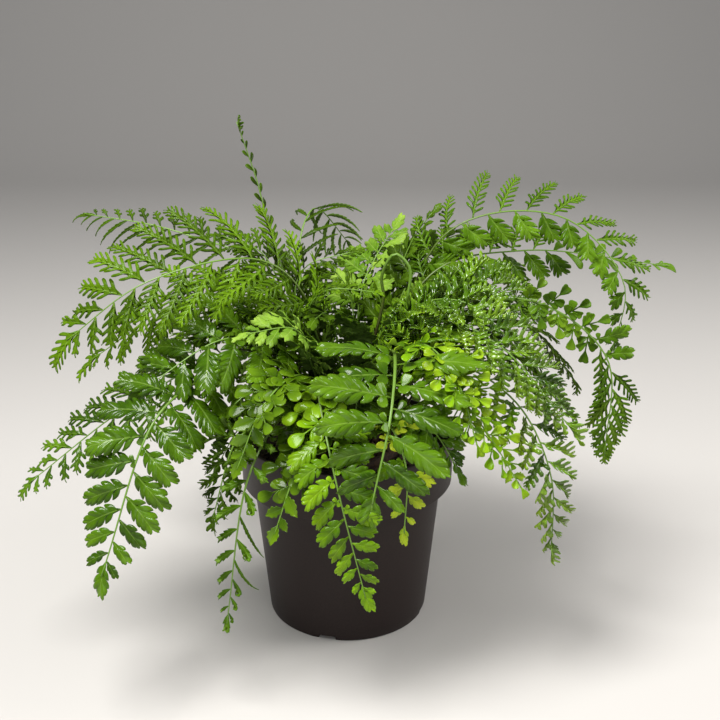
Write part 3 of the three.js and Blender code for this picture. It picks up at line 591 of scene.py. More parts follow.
leafForms["hook"] = {**leafForms["sickle"], "reach": (0.2, 3.4), "curl": -6.5, "late": 5.0, "sweep": 0.3}
leafForms["strap"] = {**leafForms["sickle"], "reach": (0.08, 1.6), "set": (40, 34), "curl": 0.8, "sweep": 0.3}

# Forms of rounded pinnules. blade: of bladeForms; late: the same for leaflets near the frond's
# end, past the share until; size: one pinnule by leaflet length, and its limit; slim: width by
# length; pairs: most pairs below the end one.
leafForms["round"] = {
    "blade": "coin", "late": "kite", "until": 0.45, "size": (0.42, 8.6), "slim": 0.74, "pairs": 2,
    "set": (66, 44), "lift": 10,
}
leafForms["bead"] = {
    "blade": "bead", "late": "kite", "until": 0.8, "size": (0.38, 6.2), "slim": 0.84, "pairs": 2,
    "set": (66, 46), "lift": 16,
}
leafForms["paddle"] = {
    "blade": "paddle", "late": "paddle", "until": -1, "size": (1, 30), "slim": 0.42, "pairs": 0,
    "set": (52, 36), "lift": 6,
}

# Rounded blades. half: half the width from foot to end, as shares of both; teeth: depth of
# the notches in the edge and their number; fold: how far the halves are folded up.
bladeForms = {
    "coin": {
        "half": (
            [0, 0.08, 0.2, 0.4, 0.62, 0.8, 0.91, 0.97, 1], [0.12, 0.2, 0.5, 0.84, 1, 0.95, 0.74, 0.46, 0.14],
        ),
        "teeth": (0.05, 3), "fold": (-0.15, 0.3),
    },
    "bead": {
        "half": ([0, 0.12, 0.3, 0.55, 0.8, 0.92, 1], [0.14, 0.24, 0.52, 0.86, 1, 0.84, 0.5]),
        "teeth": (0.08, 3), "fold": (0.25, 0.95),
    },
    "kite": {
        "half": ([0, 0.1, 0.26, 0.48, 0.7, 0.88, 1], [0.16, 0.36, 0.8, 1, 0.8, 0.42, 0.06]),
        "teeth": (0.5, 4), "fold": (0.1, 0.6),
    },
    "lobe": {
        "half": ([0, 0.12, 0.3, 0.55, 0.8, 0.92, 1], [0.16, 0.36, 0.66, 0.92, 1, 0.78, 0.36]),
        "teeth": (0.14, 5), "fold": (-0.1, 0.3),
    },
    "paddle": {
        "half": ([0, 0.15, 0.4, 0.7, 0.88, 0.96, 1], [0.2, 0.4, 0.75, 1, 0.86, 0.5, 0.12]),
        "teeth": (0.08, 3), "fold": (0.0, 0.4),
    },
}
bladeLook = {"rows": 15, "columns": 7, "curl": (-0.2, 0.8), "cup": (-0.25, 0.2), "phase": (-0.1, 0.1)}
pinnuleLook = {
    "lateShare": 0.85, "lateSlim": 0.7, "secondPair": 14, "stalkHalf": 0.35, "spread": (40, 62),
    "tilt": (-0.45, 0.45), "size": (0.85, 1.1), "width": (0.88, 1.08), "tone": (-0.15, 0.15), "end": 1.15,
}
leafThickness = 0.28


def swing(first, second, turn):
    # both directions turned, the first one towards the second, by an angle for each row
    c, s = np.cos(turn)[:, None], np.sin(turn)[:, None]
    return first * c + second * s, second * c - first * s


def midline(root, ahead, shares, length):
    # points that start at the root and follow the direction of each row
    moves = (ahead[:-1] + ahead[1:]) / 2 * (np.diff(shares) * length)[:, None]
    return root + np.concatenate([np.zeros((1, 3)), np.cumsum(moves, 0)])


def addBlade(shape, form, root, along, up, length, width, tone, yellow, rng):
    # one rounded pinnule: a domed, cupped or folded sheet with a notched edge
    cut = bladeForms[form]
    rows = np.linspace(0, 1, bladeLook["rows"])
    columns = np.linspace(-1, 1, bladeLook["columns"])
    half = width / 2 * np.interp(rows, *cut["half"])
    side = np.cross(along, up)
    curl = rng.uniform(*bladeLook["curl"]) * rows ** 1.5
    above, ahead = swing(up, along, curl)
    centre = midline(root, ahead, rows, length)

    # notches in both edges and in the end
    depth, count = cut["teeth"]
    phase = rng.uniform(*bladeLook["phase"])
    notch = 1 - np.abs(np.sin((rows + phase) * math.pi * count)) ** 0.6
    run = columns * half[:, None] * (1 - depth * notch[:, None] * columns ** 2)
    fringe = 1 - np.abs(np.cos(columns * math.pi * 1.5 + phase)) ** 0.6
    fringe = -0.5 * depth * half.max() * fringe * np.interp(rows, [0.6, 1], [0, 1])[:, None]

    fold = rng.uniform(*cut["fold"])
    cup = rng.uniform(*bladeLook["cup"])
    ripple = 0.05 * run * np.sin(rows * 5)[:, None]
    rise = fold * np.abs(run) * 0.9 + cup * run ** 2 / (width / 2) + ripple
    top = centre[:, None] + side * run[..., None] + ahead[:, None] * fringe[..., None]
    top = top + above[:, None] * rise[..., None]
    addSheet(
        shape, top, above, leafThickness, tone=tone, yellow=yellow, across=0.08 + 0.92 * np.abs(columns),
        lobe=np.abs(np.sin(columns * 5)) * 0.8 + 0.06, along=rows[:, None],
    )


def addPinnules(shape, form, root, along, up, length, fade, tone, yellow, rng):
    # rounded pinnules in pairs along a thin stalklet, with one at its end
    cut, look = leafForms[form], pinnuleLook
    if fade > cut["until"]:
        long = length * look["lateShare"] if cut["pairs"] else length
        wide = long * min(cut["slim"], look["lateSlim"])
        addBlade(shape, cut["late"], root, along, up, long, wide, tone, yellow, rng)
        return
    size = min(length * cut["size"][0], cut["size"][1])
    pairs = min(cut["pairs"], 1 + (length > look["secondPair"]))
    side = np.cross(along, up)
    stalk = root + along * (np.linspace(0, 1, 4) * (length - size * 0.8))[:, None]
    strip = stalk[:, None] + side * (np.array([-1, 0, 1])[:, None] * look["stalkHalf"])
    ups = np.tile(up, (4, 1))
    addSheet(shape, strip, ups, leafThickness, tone=tone, yellow=yellow, across=0.05, lobe=1.0)
    for i in range(pairs):
        for hand in (-1, 1):
            place = root + along * (length - size) * (0.22 + 0.62 * i + 0.08 * hand) / pairs
            spread = math.radians(rng.uniform(*look["spread"]))
            away = along * math.cos(spread) + side * (hand * math.sin(spread))
            tilt = rng.uniform(*look["tilt"])
            normal = up * math.cos(tilt) - np.cross(away, up) * math.sin(tilt)
            long = size * rng.uniform(*look["size"])
            wide = long * cut["slim"] * rng.uniform(*look["width"])
            ownTone = tone + rng.uniform(*look["tone"])
            addBlade(shape, cut["blade"], place, away, normal, long, wide, ownTone, yellow, rng)
    end = size * look["end"]
    place = root + along * (length - end)
    addBlade(shape, cut["blade"], place, along, up, end, end * cut["slim"], tone, yellow, rng)


leafletLook = {
    "curl": (-0.15, 0.2), "sweep": (0.4, 1.5), "twist": (-0.12, 0.12), "lobeRoom": 0.14, "lobeLeast": 2.5,
    "lobeUntil": 0.4, "lobeSpread": (58, 76), "lobeTilt": (-0.1, 0.45), "lobePlace": (0.55, 0.9),
    "lobeSlim": (0.72, 0.86),
}


def addLeaflet(shape, form, root, along, up, length, handed, fade, tone, yellow, rng, reach=None):
    # one leaflet as a single cut sheet: rays leave the midrib on both sides, long in the
    # segments and short in the gaps; handed is +1 right and -1 left of the rib, and fade is
    # 0 at the frond's foot and 1 at its end, where leaflets are less cut
    cut, look = leafForms[form], leafletLook
    if "blade" in cut:
        addPinnules(shape, form, root, along, up, length, fade, tone, yellow, rng)
        return
    inside, ends = np.array(segmentEdges[cut["edge"]]).T
    steps = len(inside)
    count = max(cut["fewest"], round(length / cut["spacing"]))
    inside = np.concatenate([[0], np.tile(inside, count), [1]])
    ends = np.concatenate([[0], np.tile(ends, count), [0]])
    segment = np.concatenate([[0], np.repeat(np.arange(count), steps), [count - 1]])
    rows = len(inside)
    stem = min(cut["stem"] / length, 0.25)
    if cut["lobes"]:
        stem = stem + max(look["lobeRoom"] - 0.3 * fade, 0)

    def shareAt(place):
        return stem + (1 - stem) * (1 - (1 - np.clip(place / count, 0, 1)) ** cut["crowd"])

    part = (segment + inside) / count
    share = shareAt(segment + inside)
    middle = shareAt(segment + 0.5)
    later = shareAt(segment + inside + 0.5)
    share[0] = middle[0] = later[0] = 0  # the first row is the foot of the stalklet

    curl = (cut["curl"] + rng.uniform(*look["curl"])) * share ** cut["late"]
    yaw = -handed * cut["sweep"] * rng.uniform(*look["sweep"]) * share
    twist = rng.uniform(-1, 1) * cut["turn"] * share + rng.uniform(*look["twist"])
    side = np.cross(along, up)
    level = swing(along, side, yaw)[0]
    above, ahead = swing(up, level, curl)
    right, above = swing(np.cross(ahead, above), above, twist)
    centre = midline(root, ahead, share, length)

    limit = reach if reach else min(length * cut["reach"][0], cut["reach"][1])
    limit = limit * np.interp(part, *cut["outline"])
    depth = np.interp(part, *cut["depth"]) * (1 - 0.4 * fade)
    pinch = np.interp(part, *cut["pinch"])
    pinch = pinch + (1 - pinch) * 0.6 * fade
    angle = np.radians(cut["angle"][0] + (cut["angle"][1] - cut["angle"][0]) * part)
    limit = np.minimum(limit, ((1 - share) * length + cut["tip"]) / np.cos(angle))
    wing = cut["wing"] * (1 - 0.6 * part) * min(1, length / 18 + 0.3)
    columns = np.linspace(-1, 1, cut["columns"])
    top = np.zeros((rows, len(columns), 3))
    across = np.zeros(top.shape[:2])
    lobe = np.ones(top.shape[:2])
    phase = rng.uniform(0, 6.28)
    long = wing + np.maximum(limit - wing, 0) * (1 - depth * (1 - ends))
    long[0] = wing[0] * 0.8
    spread = np.abs(inside - 0.5) * 2
    for hand in (-1, 1):
        tilt = cut["tilt"] * np.array([rng.uniform(-1, 1) for _ in range(count)])[segment]
        ray = ahead * np.cos(angle)[:, None] + right * (hand * np.sin(angle))[:, None]
        slide = (later - share) * length if hand < 0 else 0  # segments stand alternately
        for k, column in enumerate(columns):
            if column * hand <= 0:
                continue
            run = abs(column) * long
            foot = np.interp(run / limit, [0.04, 0.14, 0.34, 0.85], [0, 1, 1, 0])
            fan = cut["fan"] * np.interp(run / limit, [0.4, 1], [0, 1]) * (1 - pinch)
            shift = (middle - share) * (foot * (1 - pinch) - fan) * length + slide
            rise = cut["fold"] * run - cut["bend"] * run ** 2 / limit.max() + tilt * run
            rise = rise + cut["cup"] * limit * (1 - spread ** 2) * math.sin(abs(column) * 2.4)
            rise = rise + cut["wave"] * run * np.sin(part * 11 + phase + hand)
            top[:, k] = centre + ray * run[:, None] + ahead * shift[:, None] + above * rise[:, None]
            across[:, k] = run / limit
            lobe[:, k] = spread
    top[:, len(columns) // 2] = centre
    addSheet(
        shape, top, above, leafThickness, tone=tone, yellow=yellow, across=np.clip(across, 0, 1),
        lobe=lobe, along=share[:, None],
    )

    # separate rounded lobes at the foot
    size = length * cut["lobes"] * (1 - fade)
    if size < look["lobeLeast"] or fade > look["lobeUntil"]:
        return
    for hand in (-1, 1):
        spread = math.radians(rng.uniform(*look["lobeSpread"]))
        away = along * math.cos(spread) + side * (hand * math.sin(spread))
        tilt = rng.uniform(*look["lobeTilt"])
        normal = up * math.cos(tilt) - away * math.sin(tilt)
        away = away * math.cos(tilt) + up * math.sin(tilt)
        place = root + along * (stem * length * rng.uniform(*look["lobePlace"]))
        wide = size * rng.uniform(*look["lobeSlim"])
        addBlade(shape, "lobe", place, away, normal, size, wide, tone, yellow, rng)


# fronds

frondLook = {
    "stalkFoot": 98.3, "stalkCollar": 107.0, "footRadius": 0.95, "ribRadius": 0.72, "tipRadius": 0.3,
    "stalkShare": 0.88, "rowsAlong": 46, "corners": 10, "groove": 0.35, "seed": 300,
    "crowding": 1.2, "rightStart": 0.36, "leftStart": 0.8, "angle": (-5, 5), "tilt": (-14, 12),
    "length": (0.92, 1.08), "tone": (0.2, 0.75), "gold": [0, 0, 1, 1.6], "rootOut": 0.3,
    "endPlace": 0.965, "endShare": 0.6, "endLeast": 0.06, "endReach": 0.2, "endFade": 0.6, "endTone": 0.7,
}

# Every frond, in millimetres: form, hole in the crown (distance from the axis, degrees from
# +X), longest leaflet, leaflet pairs, bare share of the stalk, roll in degrees, finish, share
# of yellow, and the points that its rib passes through, which are those of the solid frond.
fronds = {
    "leftHigh": ("fine", (8, 190), 40, 11, 0.3, 46, "feather", 0.0,
        [(-22, -5, 189), (-45, -12, 212), (-102, -34, 206), (-143, -44, 178)]),
    "frontBroad": ("broad", (15.5, 282), 42, 7, 0.38, 0, "broad", 0.0,
        [(24, -40, 171), (22, -90, 155), (13, -110, 118)]),
    "leftBroad": ("leafy", (23.5, 200), 28, 11, 0.3, 32, "broad", 0.0,
        [(-58, -20, 149), (-91, -75, 151), (-117, -115, 82)]),
    "rightArchTop": ("fine", (15.5, 28), 26, 13, 0.34, -35, "fresh", 0.0,
        [(56, 20, 220), (118, 18, 229), (151, 0, 196), (146, -6, 158)]),
    "rightArchTwo": ("fine", (8, 350), 26, 13, 0.34, -30, "fresh", 0.0,
        [(46, 10, 198), (98, 26, 208), (188, 46, 194)]),
    "rightHang": ("gloss", (23.5, 352), 22, 12, 0.5, -75, "fresh", 0.05,
        [(56, -10, 184), (101, -20, 191), (138, -29, 163), (140, -33, 108)]),
    "frontLight": ("round", (15.5, 260), 23, 12, 0.38, 0, "lime", 0.05,
        [(-14, -60, 159), (-5, -104, 131), (10, -115, 70)]),
    "leftLow": ("fine", (23.5, 181), 26, 12, 0.3, 30, "broad", 0.0,
        [(-53, -5, 159), (-111, -30, 140), (-168, -52, 101)]),
    "rightLight": ("round", (23.5, 312), 22, 10, 0.36, -15, "lime", 0.15,
        [(43, -45, 162), (68, -74, 143), (86, -86, 117)]),
    "youngTall": ("twist", (8, 130), 9, 9, 0.55, 0, "deep", 0.0,
        [(-43, 25, 220), (-50, 30, 247), (-60, 30, 279)]),
    "backFan": ("sickle", (15.5, 112), 30, 9, 0.5, 25, "deep", 0.0,
        [(-29, 60, 198), (-21, 85, 220), (1, 125, 188)]),
    "leftBack": ("sickle", (15.5, 140), 38, 14, 0.4, 46, "deep", 0.0,
        [(-27, 25, 185), (-100, 60, 211), (-160, 80, 218)]),
    "leftHangCurl": ("hook", (23.5, 250), 18, 9, 0.4, 10, "fresh", 0.0,
        [(-30, -65, 145), (-46, -95, 127), (-60, -100, 45)]),
    "rightGloss": ("gloss", (15.5, 335), 26, 14, 0.34, -20, "gloss", 0.05,
        [(42, -20, 182), (78, -50, 177), (114, -70, 139)]),
    "rightGlossLow": ("gloss", (23.5, 332), 22, 13, 0.32, -20, "gloss", 0.1,
        [(52, -30, 160), (86, -58, 150), (103, -76, 118), (105, -82, 76)]),
    "backLight": ("leafy", (15.5, 76), 24, 7, 0.5, 10, "pale", 0.0,
        [(8, 40, 180), (16, 55, 196), (28, 70, 212)]),
    "crozier": ("bare", (8, 250), 0, 0, 1, 0, "lime", 0.0,
        [(20, 0, 187), (19, 0, 200), (26, -2, 213), (34, -4, 206), (33, -6, 188)]),
    "frontLeftLight": ("round", (15.5, 236), 20, 9, 0.36, 10, "round", 0.0,
        [(-23, -55, 163), (-39, -82, 158), (-52, -97, 130)]),
    "frontRightRound": ("round", (15.5, 320), 22, 8, 0.4, -10, "lime", 0.15,
        [(38, -45, 176), (54, -70, 168), (64, -86, 140)]),
    "leftBroadHigh": ("leafy", (15.5, 212), 32, 6, 0.34, 34, "broad", 0.0,
        [(-30, -20, 163), (-62, -42, 178), (-100, -60, 159)]),
    "leftHangFine": ("gloss", (23.5, 232), 18, 10, 0.4, 10, "deep", 0.0,
        [(-43, -55, 133), (-54, -75, 136), (-67, -84, 96)]),
    "leftMid": ("fine", (15.5, 172), 30, 13, 0.22, 25, "feather", 0.0,
        [(-38, 4, 176), (-84, 0, 188), (-140, -12, 156)]),
    "frontLeftLow": ("round", (23.5, 268), 20, 5, 0.42, 0, "round", 0.0,
        [(-8, -68, 136), (-22, -92, 130), (-34, -106, 100)]),
    "frontYellow": ("round", (23.5, 288), 16, 5, 0.42, 0, "lime", 0.8,
        [(22, -66, 140), (30, -88, 126), (29, -98, 96)]),
    "rightMidA": ("gloss", (15.5, 350), 26, 15, 0.2, -20, "gloss", 0.0,
        [(46, 0, 187), (76, -10, 197), (112, -14, 178)]),
    "rightMidB": ("gloss", (8, 310), 25, 14, 0.2, -20, "gloss", 0.0,
        [(36, -15, 186), (62, -30, 194), (90, -44, 172)]),
    "rightMidC": ("leafy", (8, 50), 24, 12, 0.25, -10, "deep", 0.0,
        [(38, 24, 196), (62, 38, 214), (92, 52, 206)]),
    "centreRound": ("round", (0, 0), 16, 7, 0.15, 0, "round", 0.0,
        [(14, 4, 150), (20, 8, 174), (17, 10, 190)]),
    "youngPale": ("leafy", (11.5, 238), 18, 8, 0.45, 20, "pale", 0.0,
        [(-18, -32, 160), (-26, -44, 184), (-50, -52, 184)]),
    "darkInner": ("leafy", (15.5, 190), 19, 12, 0.15, 10, "deep", 0.0,
        [(-28, -30, 145), (-40, -50, 160), (-56, -62, 150)]),
    "frontDark": ("leafy", (8, 280), 23, 12, 0.15, 0, "deep", 0.0,
        [(6, -34, 150), (6, -60, 152), (2, -84, 138)]),
    "rightLow": ("slim", (23.5, 14), 24, 12, 0.34, -15, "deep", 0.0,
        [(58, 10, 150), (96, 18, 150), (132, 22, 112)]),
    "backRight": ("slim", (15.5, 44), 26, 16, 0.22, 0, "feather", 0.0,
        [(50, 46, 182), (92, 84, 186), (128, 112, 140)]),
    "backRightLow": ("slim", (23.5, 36), 24, 16, 0.22, 0, "deep", 0.0,
        [(56, 34, 152), (104, 58, 156), (146, 78, 108)]),
    "backTall": ("slim", (8, 88), 26, 16, 0.22, 0, "fresh", 0.0,
        [(20, 52, 186), (42, 96, 196), (60, 140, 160)]),
    "backMiddle": ("slim", (15.5, 92), 26, 16, 0.22, 0, "feather", 0.0,
        [(-2, 62, 172), (-8, 110, 172), (-10, 152, 122)]),
    "backLow": ("leafy", (23.5, 72), 24, 7, 0.34, 0, "broad", 0.0,
        [(20, 64, 142), (36, 100, 136), (46, 122, 82)]),
    "backLeft": ("slim", (15.5, 158), 26, 16, 0.22, 0, "deep", 0.0,
        [(-46, 44, 168), (-88, 86, 176), (-122, 118, 132)]),
    "backLeftLow": ("slim", (23.5, 150), 24, 16, 0.22, 0, "feather", 0.0,
        [(-50, 34, 150), (-98, 62, 148), (-140, 82, 100)]),
    "backLeftMiddle": ("leafy", (23.5, 122), 24, 7, 0.34, 0, "broad", 0.0,
        [(-30, 58, 145), (-52, 98, 145), (-66, 124, 92)]),
    "combDark": ("slim", (8, 160), 20, 13, 0.25, -20, "deep", 0.0,
        [(-21, 10, 163), (-29, 16, 188), (-22, 20, 201), (2, 22, 208)]),
    "innerFeather": ("fine", (8, 220), 16, 13, 0.2, -15, "feather", 0.0,
        [(-13, -10, 160), (-20, -14, 186), (-10, -17, 197), (15, -20, 197)]),
    "innerShade": ("leafy", (4, 100), 22, 11, 0.15, 0, "deep", 0.0,
        [(-4, 4, 147), (-7, -2, 172), (-11, -12, 183), (-16, -26, 184)]),
    "innerRound": ("round", (4, 325), 13, 7, 0.2, 0, "round", 0.0,
        [(15, -3, 146), (22, -4, 166), (25, -10, 180), (27, -18, 190)]),
    "darkHigh": ("leafy", (12, 60), 18, 12, 0.2, 0, "deep", 0.0,
        [(19, 20, 153), (28, 30, 189), (38, 34, 214), (48, 34, 228)]),
    "darkMiddle": ("leafy", (8, 20), 24, 12, 0.15, -10, "deep", 0.0,
        [(26, 6, 155), (42, 8, 180), (62, 8, 190), (90, 6, 186)]),
    "darkLow": ("leafy", (15.5, 9), 22, 13, 0.15, -15, "deep", 0.0,
        [(30, 5, 148), (48, 13, 168), (72, 22, 176), (104, 28, 170)]),
    "leftInner": ("slim", (12, 200), 22, 15, 0.14, 25, "feather", 0.0,
        [(-16, -4, 147), (-32, -8, 183), (-51, -12, 196), (-80, -18, 191)]),
    "leftInnerLow": ("slim", (19.5, 204), 24, 15, 0.14, 20, "deep", 0.0,
        [(-30, -14, 143), (-42, -16, 166), (-58, -26, 180), (-80, -36, 174)]),
    "leftBackInner": ("slim", (12, 150), 24, 15, 0.2, 30, "deep", 0.0,
        [(-27, 13, 158), (-37, 19, 188), (-48, 22, 208), (-70, 28, 216)]),
    "youngGloss": ("gloss", (19, 222), 13, 9, 0.2, 0, "gloss", 0.0,
        [(-22, -24, 124), (-30, -34, 141), (-40, -40, 154), (-46, -44, 173)]),
    "centreDark": ("leafy", (11.5, 268), 24, 10, 0.15, 0, "deep", 0.0,
        [(-2, -22, 137), (-2, -32, 157), (-8, -40, 172), (-20, -50, 177)]),
    "rimDark": ("leafy", (23.5, 300), 22, 10, 0.2, 0, "broad", 0.0,
        [(18, -32, 126), (30, -48, 138), (44, -62, 136), (56, -72, 120)]),
    "rimRound": ("round", (19.5, 250), 22, 9, 0.25, 0, "round", 0.0,
        [(-11, -32, 128), (-20, -48, 142), (-24, -66, 136), (-28, -78, 122)]),
    "rimLeft": ("leafy", (23.5, 218), 20, 10, 0.2, 0, "deep", 0.0,
        [(-26, -24, 124), (-40, -40, 138), (-54, -52, 134), (-66, -60, 116)]),
    "limeInner": ("leafy", (12, 100), 15, 4, 0.45, 0, "round", 0.0,
        [(3, 14, 156), (3, 16, 179), (-1, 16, 191), (-7, 14, 200)]),
}

# Other leaflets on a part of a frond: side (+1 right, -1 left of the rib), from and to along
# the blade, form and share of the length.
mixedForms = {
    "rightArchTop": ((1, 0, 0.9, "fan", 0.66), (-1, 0, 0.9, "comb", 1.2)),
    "youngTall": ((1, 0, 0.9, "paddle", 0.9), (-1, 0, 0.9, "paddle", 0.9)),
    "rightArchTwo": (
        (1, 0, 0.55, "fan", 0.7), (1, 0.55, 1, "paddle", 0.62),
        (-1, 0, 0.5, "comb", 1.0), (-1, 0.5, 1, "paddle", 0.62),
    ),
    "rightHang": (
        (1, 0, 0.42, "bead", 0.7), (1, 0.42, 1, "drape", 1.35),
        (-1, 0, 0.42, "bead", 0.7), (-1, 0.42, 0.52, "leafy", 0.8), (-1, 0.52, 1, "drape", 1.35),
    ),
    "leftBack": ((1, 0, 0.97, "fine", 0.42),),
    "frontLight": ((1, 0.22, 1, "leafy", 0.85), (-1, 0.22, 1, "leafy", 0.85)),
    "frontYellow": ((1, 0.3, 1, "leafy", 0.9), (-1, 0.3, 1, "leafy", 0.9)),
    "leftHangCurl": ((-1, 0.4, 0.5, "strap", 1.6), (-1, 0.6, 0.7, "strap", 1.6)),
    "rightLight": ((1, 0, 1, "bead", 1.0), (-1, 0, 1, "bead", 1.0)),
    "frontRightRound": ((1, 0, 1, "bead", 1.0), (-1, 0, 1, "bead", 1.0)),
}

stalkShares = {"frontBroad": 1.4, "leftBroad": 1.1, "crozier": 1.35}  # thickness of stalk and rib
endShares = {"frontBroad": 0.6}  # length of the end leaflet, as a share of the usual one


def smoothStep(x, low, high):
    t = np.clip((x - low) / (high - low), 0, 1)
    return t * t * (3 - 2 * t)


def ribPoints(points, perSpan=60):
    # a centripetal Catmull-Rom curve through the points
    points = np.asarray(points, float)
    padded = np.concatenate([[2 * points[0] - points[1]], points, [2 * points[-1] - points[-2]]])
    out = []
    for i in range(1, len(padded) - 2):
        p0, p1, p2, p3 = padded[i - 1:i + 3]
        d0, d1, d2 = [max(np.linalg.norm(b - a) ** 0.5, 1e-4) for a, b in ((p0, p1), (p1, p2), (p2, p3))]
        t1 = ((p1 - p0) / d0 - (p2 - p0) / (d0 + d1) + (p2 - p1) / d1) * d1
        t2 = ((p2 - p1) / d1 - (p3 - p1) / (d1 + d2) + (p3 - p2) / d2) * d1
        t = (np.arange(perSpan) / perSpan)[:, None]
        square, cube = 3 * p2 - 3 * p1 - 2 * t1 - t2, 2 * p1 - 2 * p2 + t1 + t2
        out.append(p1 + t1 * t + square * t ** 2 + cube * t ** 3)
    out.append(points[-1][None])
    return np.concatenate(out)


def ribCourse(root, path, bare, roll):
    # places along the rib by share of its length, with the frond's own right and up there
    x = root[0] * math.cos(math.radians(root[1]))
    y = root[0] * math.sin(math.radians(root[1]))
    dense = ribPoints([(x, y, frondLook["stalkCollar"]), *path])
    steps = np.linalg.norm(np.diff(dense, axis=0), axis=1)
    run = np.concatenate([[0], np.cumsum(steps)])
    lean = math.atan2(path[-1][1] - y, path[-1][0] - x)
    across = np.array([math.sin(lean), -math.cos(lean), 0.0])

    def at(shares):
        shares = np.atleast_1d(np.asarray(shares, float))
        want = shares * run[-1]
        centre, ahead, behind = [
            np.stack([np.interp(want + step, run, dense[:, k]) for k in range(3)], -1)
            for step in (0, 0.8, -0.8)
        ]
        along = unit(ahead - behind)
        side = unit(across - (along @ across)[:, None] * along)
        up = np.cross(side, along)
        turn = -math.radians(roll) * smoothStep(shares, 0, max(bare, 0.2))[:, None]
        side = side * np.cos(turn) + np.cross(along, side) * np.sin(turn)
        return centre, along, side, np.cross(side, along)

    return at, run[-1], (x, y)


def leafletShare(blade):
    # the longest leaflets stand about a third of the way up the blade
    return math.sin(math.pi * (0.3 + 0.66 * blade)) ** 0.8


def makeFrond(number, name):
    form, root, longest, pairs, bare, roll, finish, yellow, path = fronds[name]
    look = frondLook
    rng = random.Random(look["seed"] + number)
    shape = newShape()
    at, total, foot = ribCourse(root, path, bare, roll)

    # stalk and rib, thinner at the collar and again at the tip
    shares = np.linspace(0, 1, look["rowsAlong"])
    centre, along, side, up = at(shares)
    blade = np.clip((shares - bare) / max(1 - bare, 0.01), 0, 1)
    climb = np.clip(shares / max(bare, 0.01), 0, 1)
    radii = look["footRadius"] + (look["ribRadius"] - look["footRadius"]) * climb
    radii = radii + (look["tipRadius"] - look["ribRadius"]) * blade
    radii = radii * stalkShares.get(name, look["stalkShare"])
    bottom = np.array([[foot[0], foot[1], look["stalkFoot"]]])
    ageing = shares ** (1 if pairs else 2)  # the young hook stays brown for longer
    heads = (bottom, radii[:1], side[:1], up[:1], [0])
    rows = [np.concatenate(pair) for pair in zip(heads, (centre, radii, side, up, ageing))]
    addTube(shape, *rows, look["corners"], look["groove"])

    mixed = mixedForms.get(name, ())
    starts = ((1, look["rightStart"]), (-1, look["leftStart"]))
    spots = [(i, handed, start) for handed, start in starts for i in range(pairs)]
    for i, handed, start in sorted(spots):
        blade = 1 - (1 - (i + start) / (pairs + 0.8)) ** look["crowding"]
        grown, share = form, 1
        for hand, low, high, other, otherShare in mixed:
            if hand == handed and low <= blade < high:
                grown, share = other, otherShare
        cut = leafForms[grown]
        centre, along, side, up = [v[0] for v in at([bare + (1 - bare) * blade])]
        angle = cut["set"][0] + (cut["set"][1] - cut["set"][0]) * blade + rng.uniform(*look["angle"])
        angle = math.radians(angle)
        tilt = math.radians(cut["lift"] + rng.uniform(*look["tilt"]))
        outward = side * handed * math.cos(tilt) + up * math.sin(tilt)
        above = up * math.cos(tilt) - side * handed * math.sin(tilt)
        direction = along * math.cos(angle) + outward * math.sin(angle)
        length = longest * leafletShare(blade) * rng.uniform(*look["length"]) * share
        gold = min(yellow * rng.choice(look["gold"]), 1)
        addLeaflet(
            shape, grown, centre + side * handed * look["rootOut"], direction, above, length, handed,
            blade ** 2, rng.uniform(*look["tone"]), gold, rng,
        )
    if pairs:
        # the frond ends in one cut leaflet
        centre, along, side, up = [v[0] for v in at([look["endPlace"]])]
        length = max(longest * look["endShare"], total * look["endLeast"]) * endShares.get(name, 1)
        grown = next((row[3] for row in mixed if row[2] == 1), form)
        reach = min(longest * look["endReach"], leafForms[grown].get("reach", (0, 9))[1])
        addLeaflet(
            shape, grown, centre, along, up, length, 1, look["endFade"], look["endTone"], yellow, rng,
            reach=reach,
        )

    piece = finishShape(shape, "fern_" + name, [*leafMaterials[finish], stalkMaterial])
    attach(piece, "root")
    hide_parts("frond_" + name)
    return len(piece.data.polygons)


allFaces = sum(makeFrond(number, name) for number, name in enumerate(fronds))
print("fronds made:", len(fronds), "with", allFaces, "faces")


# pot

potLook = {
    "height": 110.0, "footRadius": 46.0, "bodyRadius": 54.0, "bandHeight": 28.0, "bandRadius": 60.0,
    "rimRadius": 61.0, "wall": 1.6, "floor": 1.8, "sides": 144, "drains": 4, "drainTurn": -104.5,
    "drainWidth": 10.0, "drainHeight": 2.4, "drainInner": 32.0, "padRoof": 1.8, "padMargin": 2,
    "padInset": 1.2, "padLow": 0.9, "holeWidth": 6, "holeInset": 0.8, "nicheWidth": 21.0,
    "nicheDepth": 0.9, "nicheExtra": 0.1, "cutPast": 4, "sharpFrom": 38, "dark": "251d1b",
    "light": "2b2220", "speck": "39322f", "grain": 900.0, "speckShare": 0.08, "roughness": 0.46,
    "roughnessSpread": 0.05, "specular": 0.2, "bump": 0.05, "bumpDepth": 0.0002,
}


def turnedMesh(name, profile, sides):
    # a closed solid turned about the pot's axis; the profile starts and ends on the axis
    bm = bmesh.new()
    turns = [i / sides * 2 * math.pi for i in range(sides)]
    rings = []
    for radius, height in profile:
        reach = radius * mm
        around = turns if radius else [0]
        rings.append([bm.verts.new((reach * math.cos(t), reach * math.sin(t), height * mm)) for t in around])
    for low, high in zip(rings, rings[1:]):
        for i in range(sides):
            j = (i + 1) % sides
            if len(low) == 1:
                bm.faces.new((low[0], high[j], high[i]))
            elif len(high) == 1:
                bm.faces.new((low[i], low[j], high[0]))
            else:
                bm.faces.new((low[i], low[j], high[j], high[i]))
    mesh = bpy.data.meshes.new(name)
    bm.to_mesh(mesh)
    bm.free()
    return addObject(name, mesh)


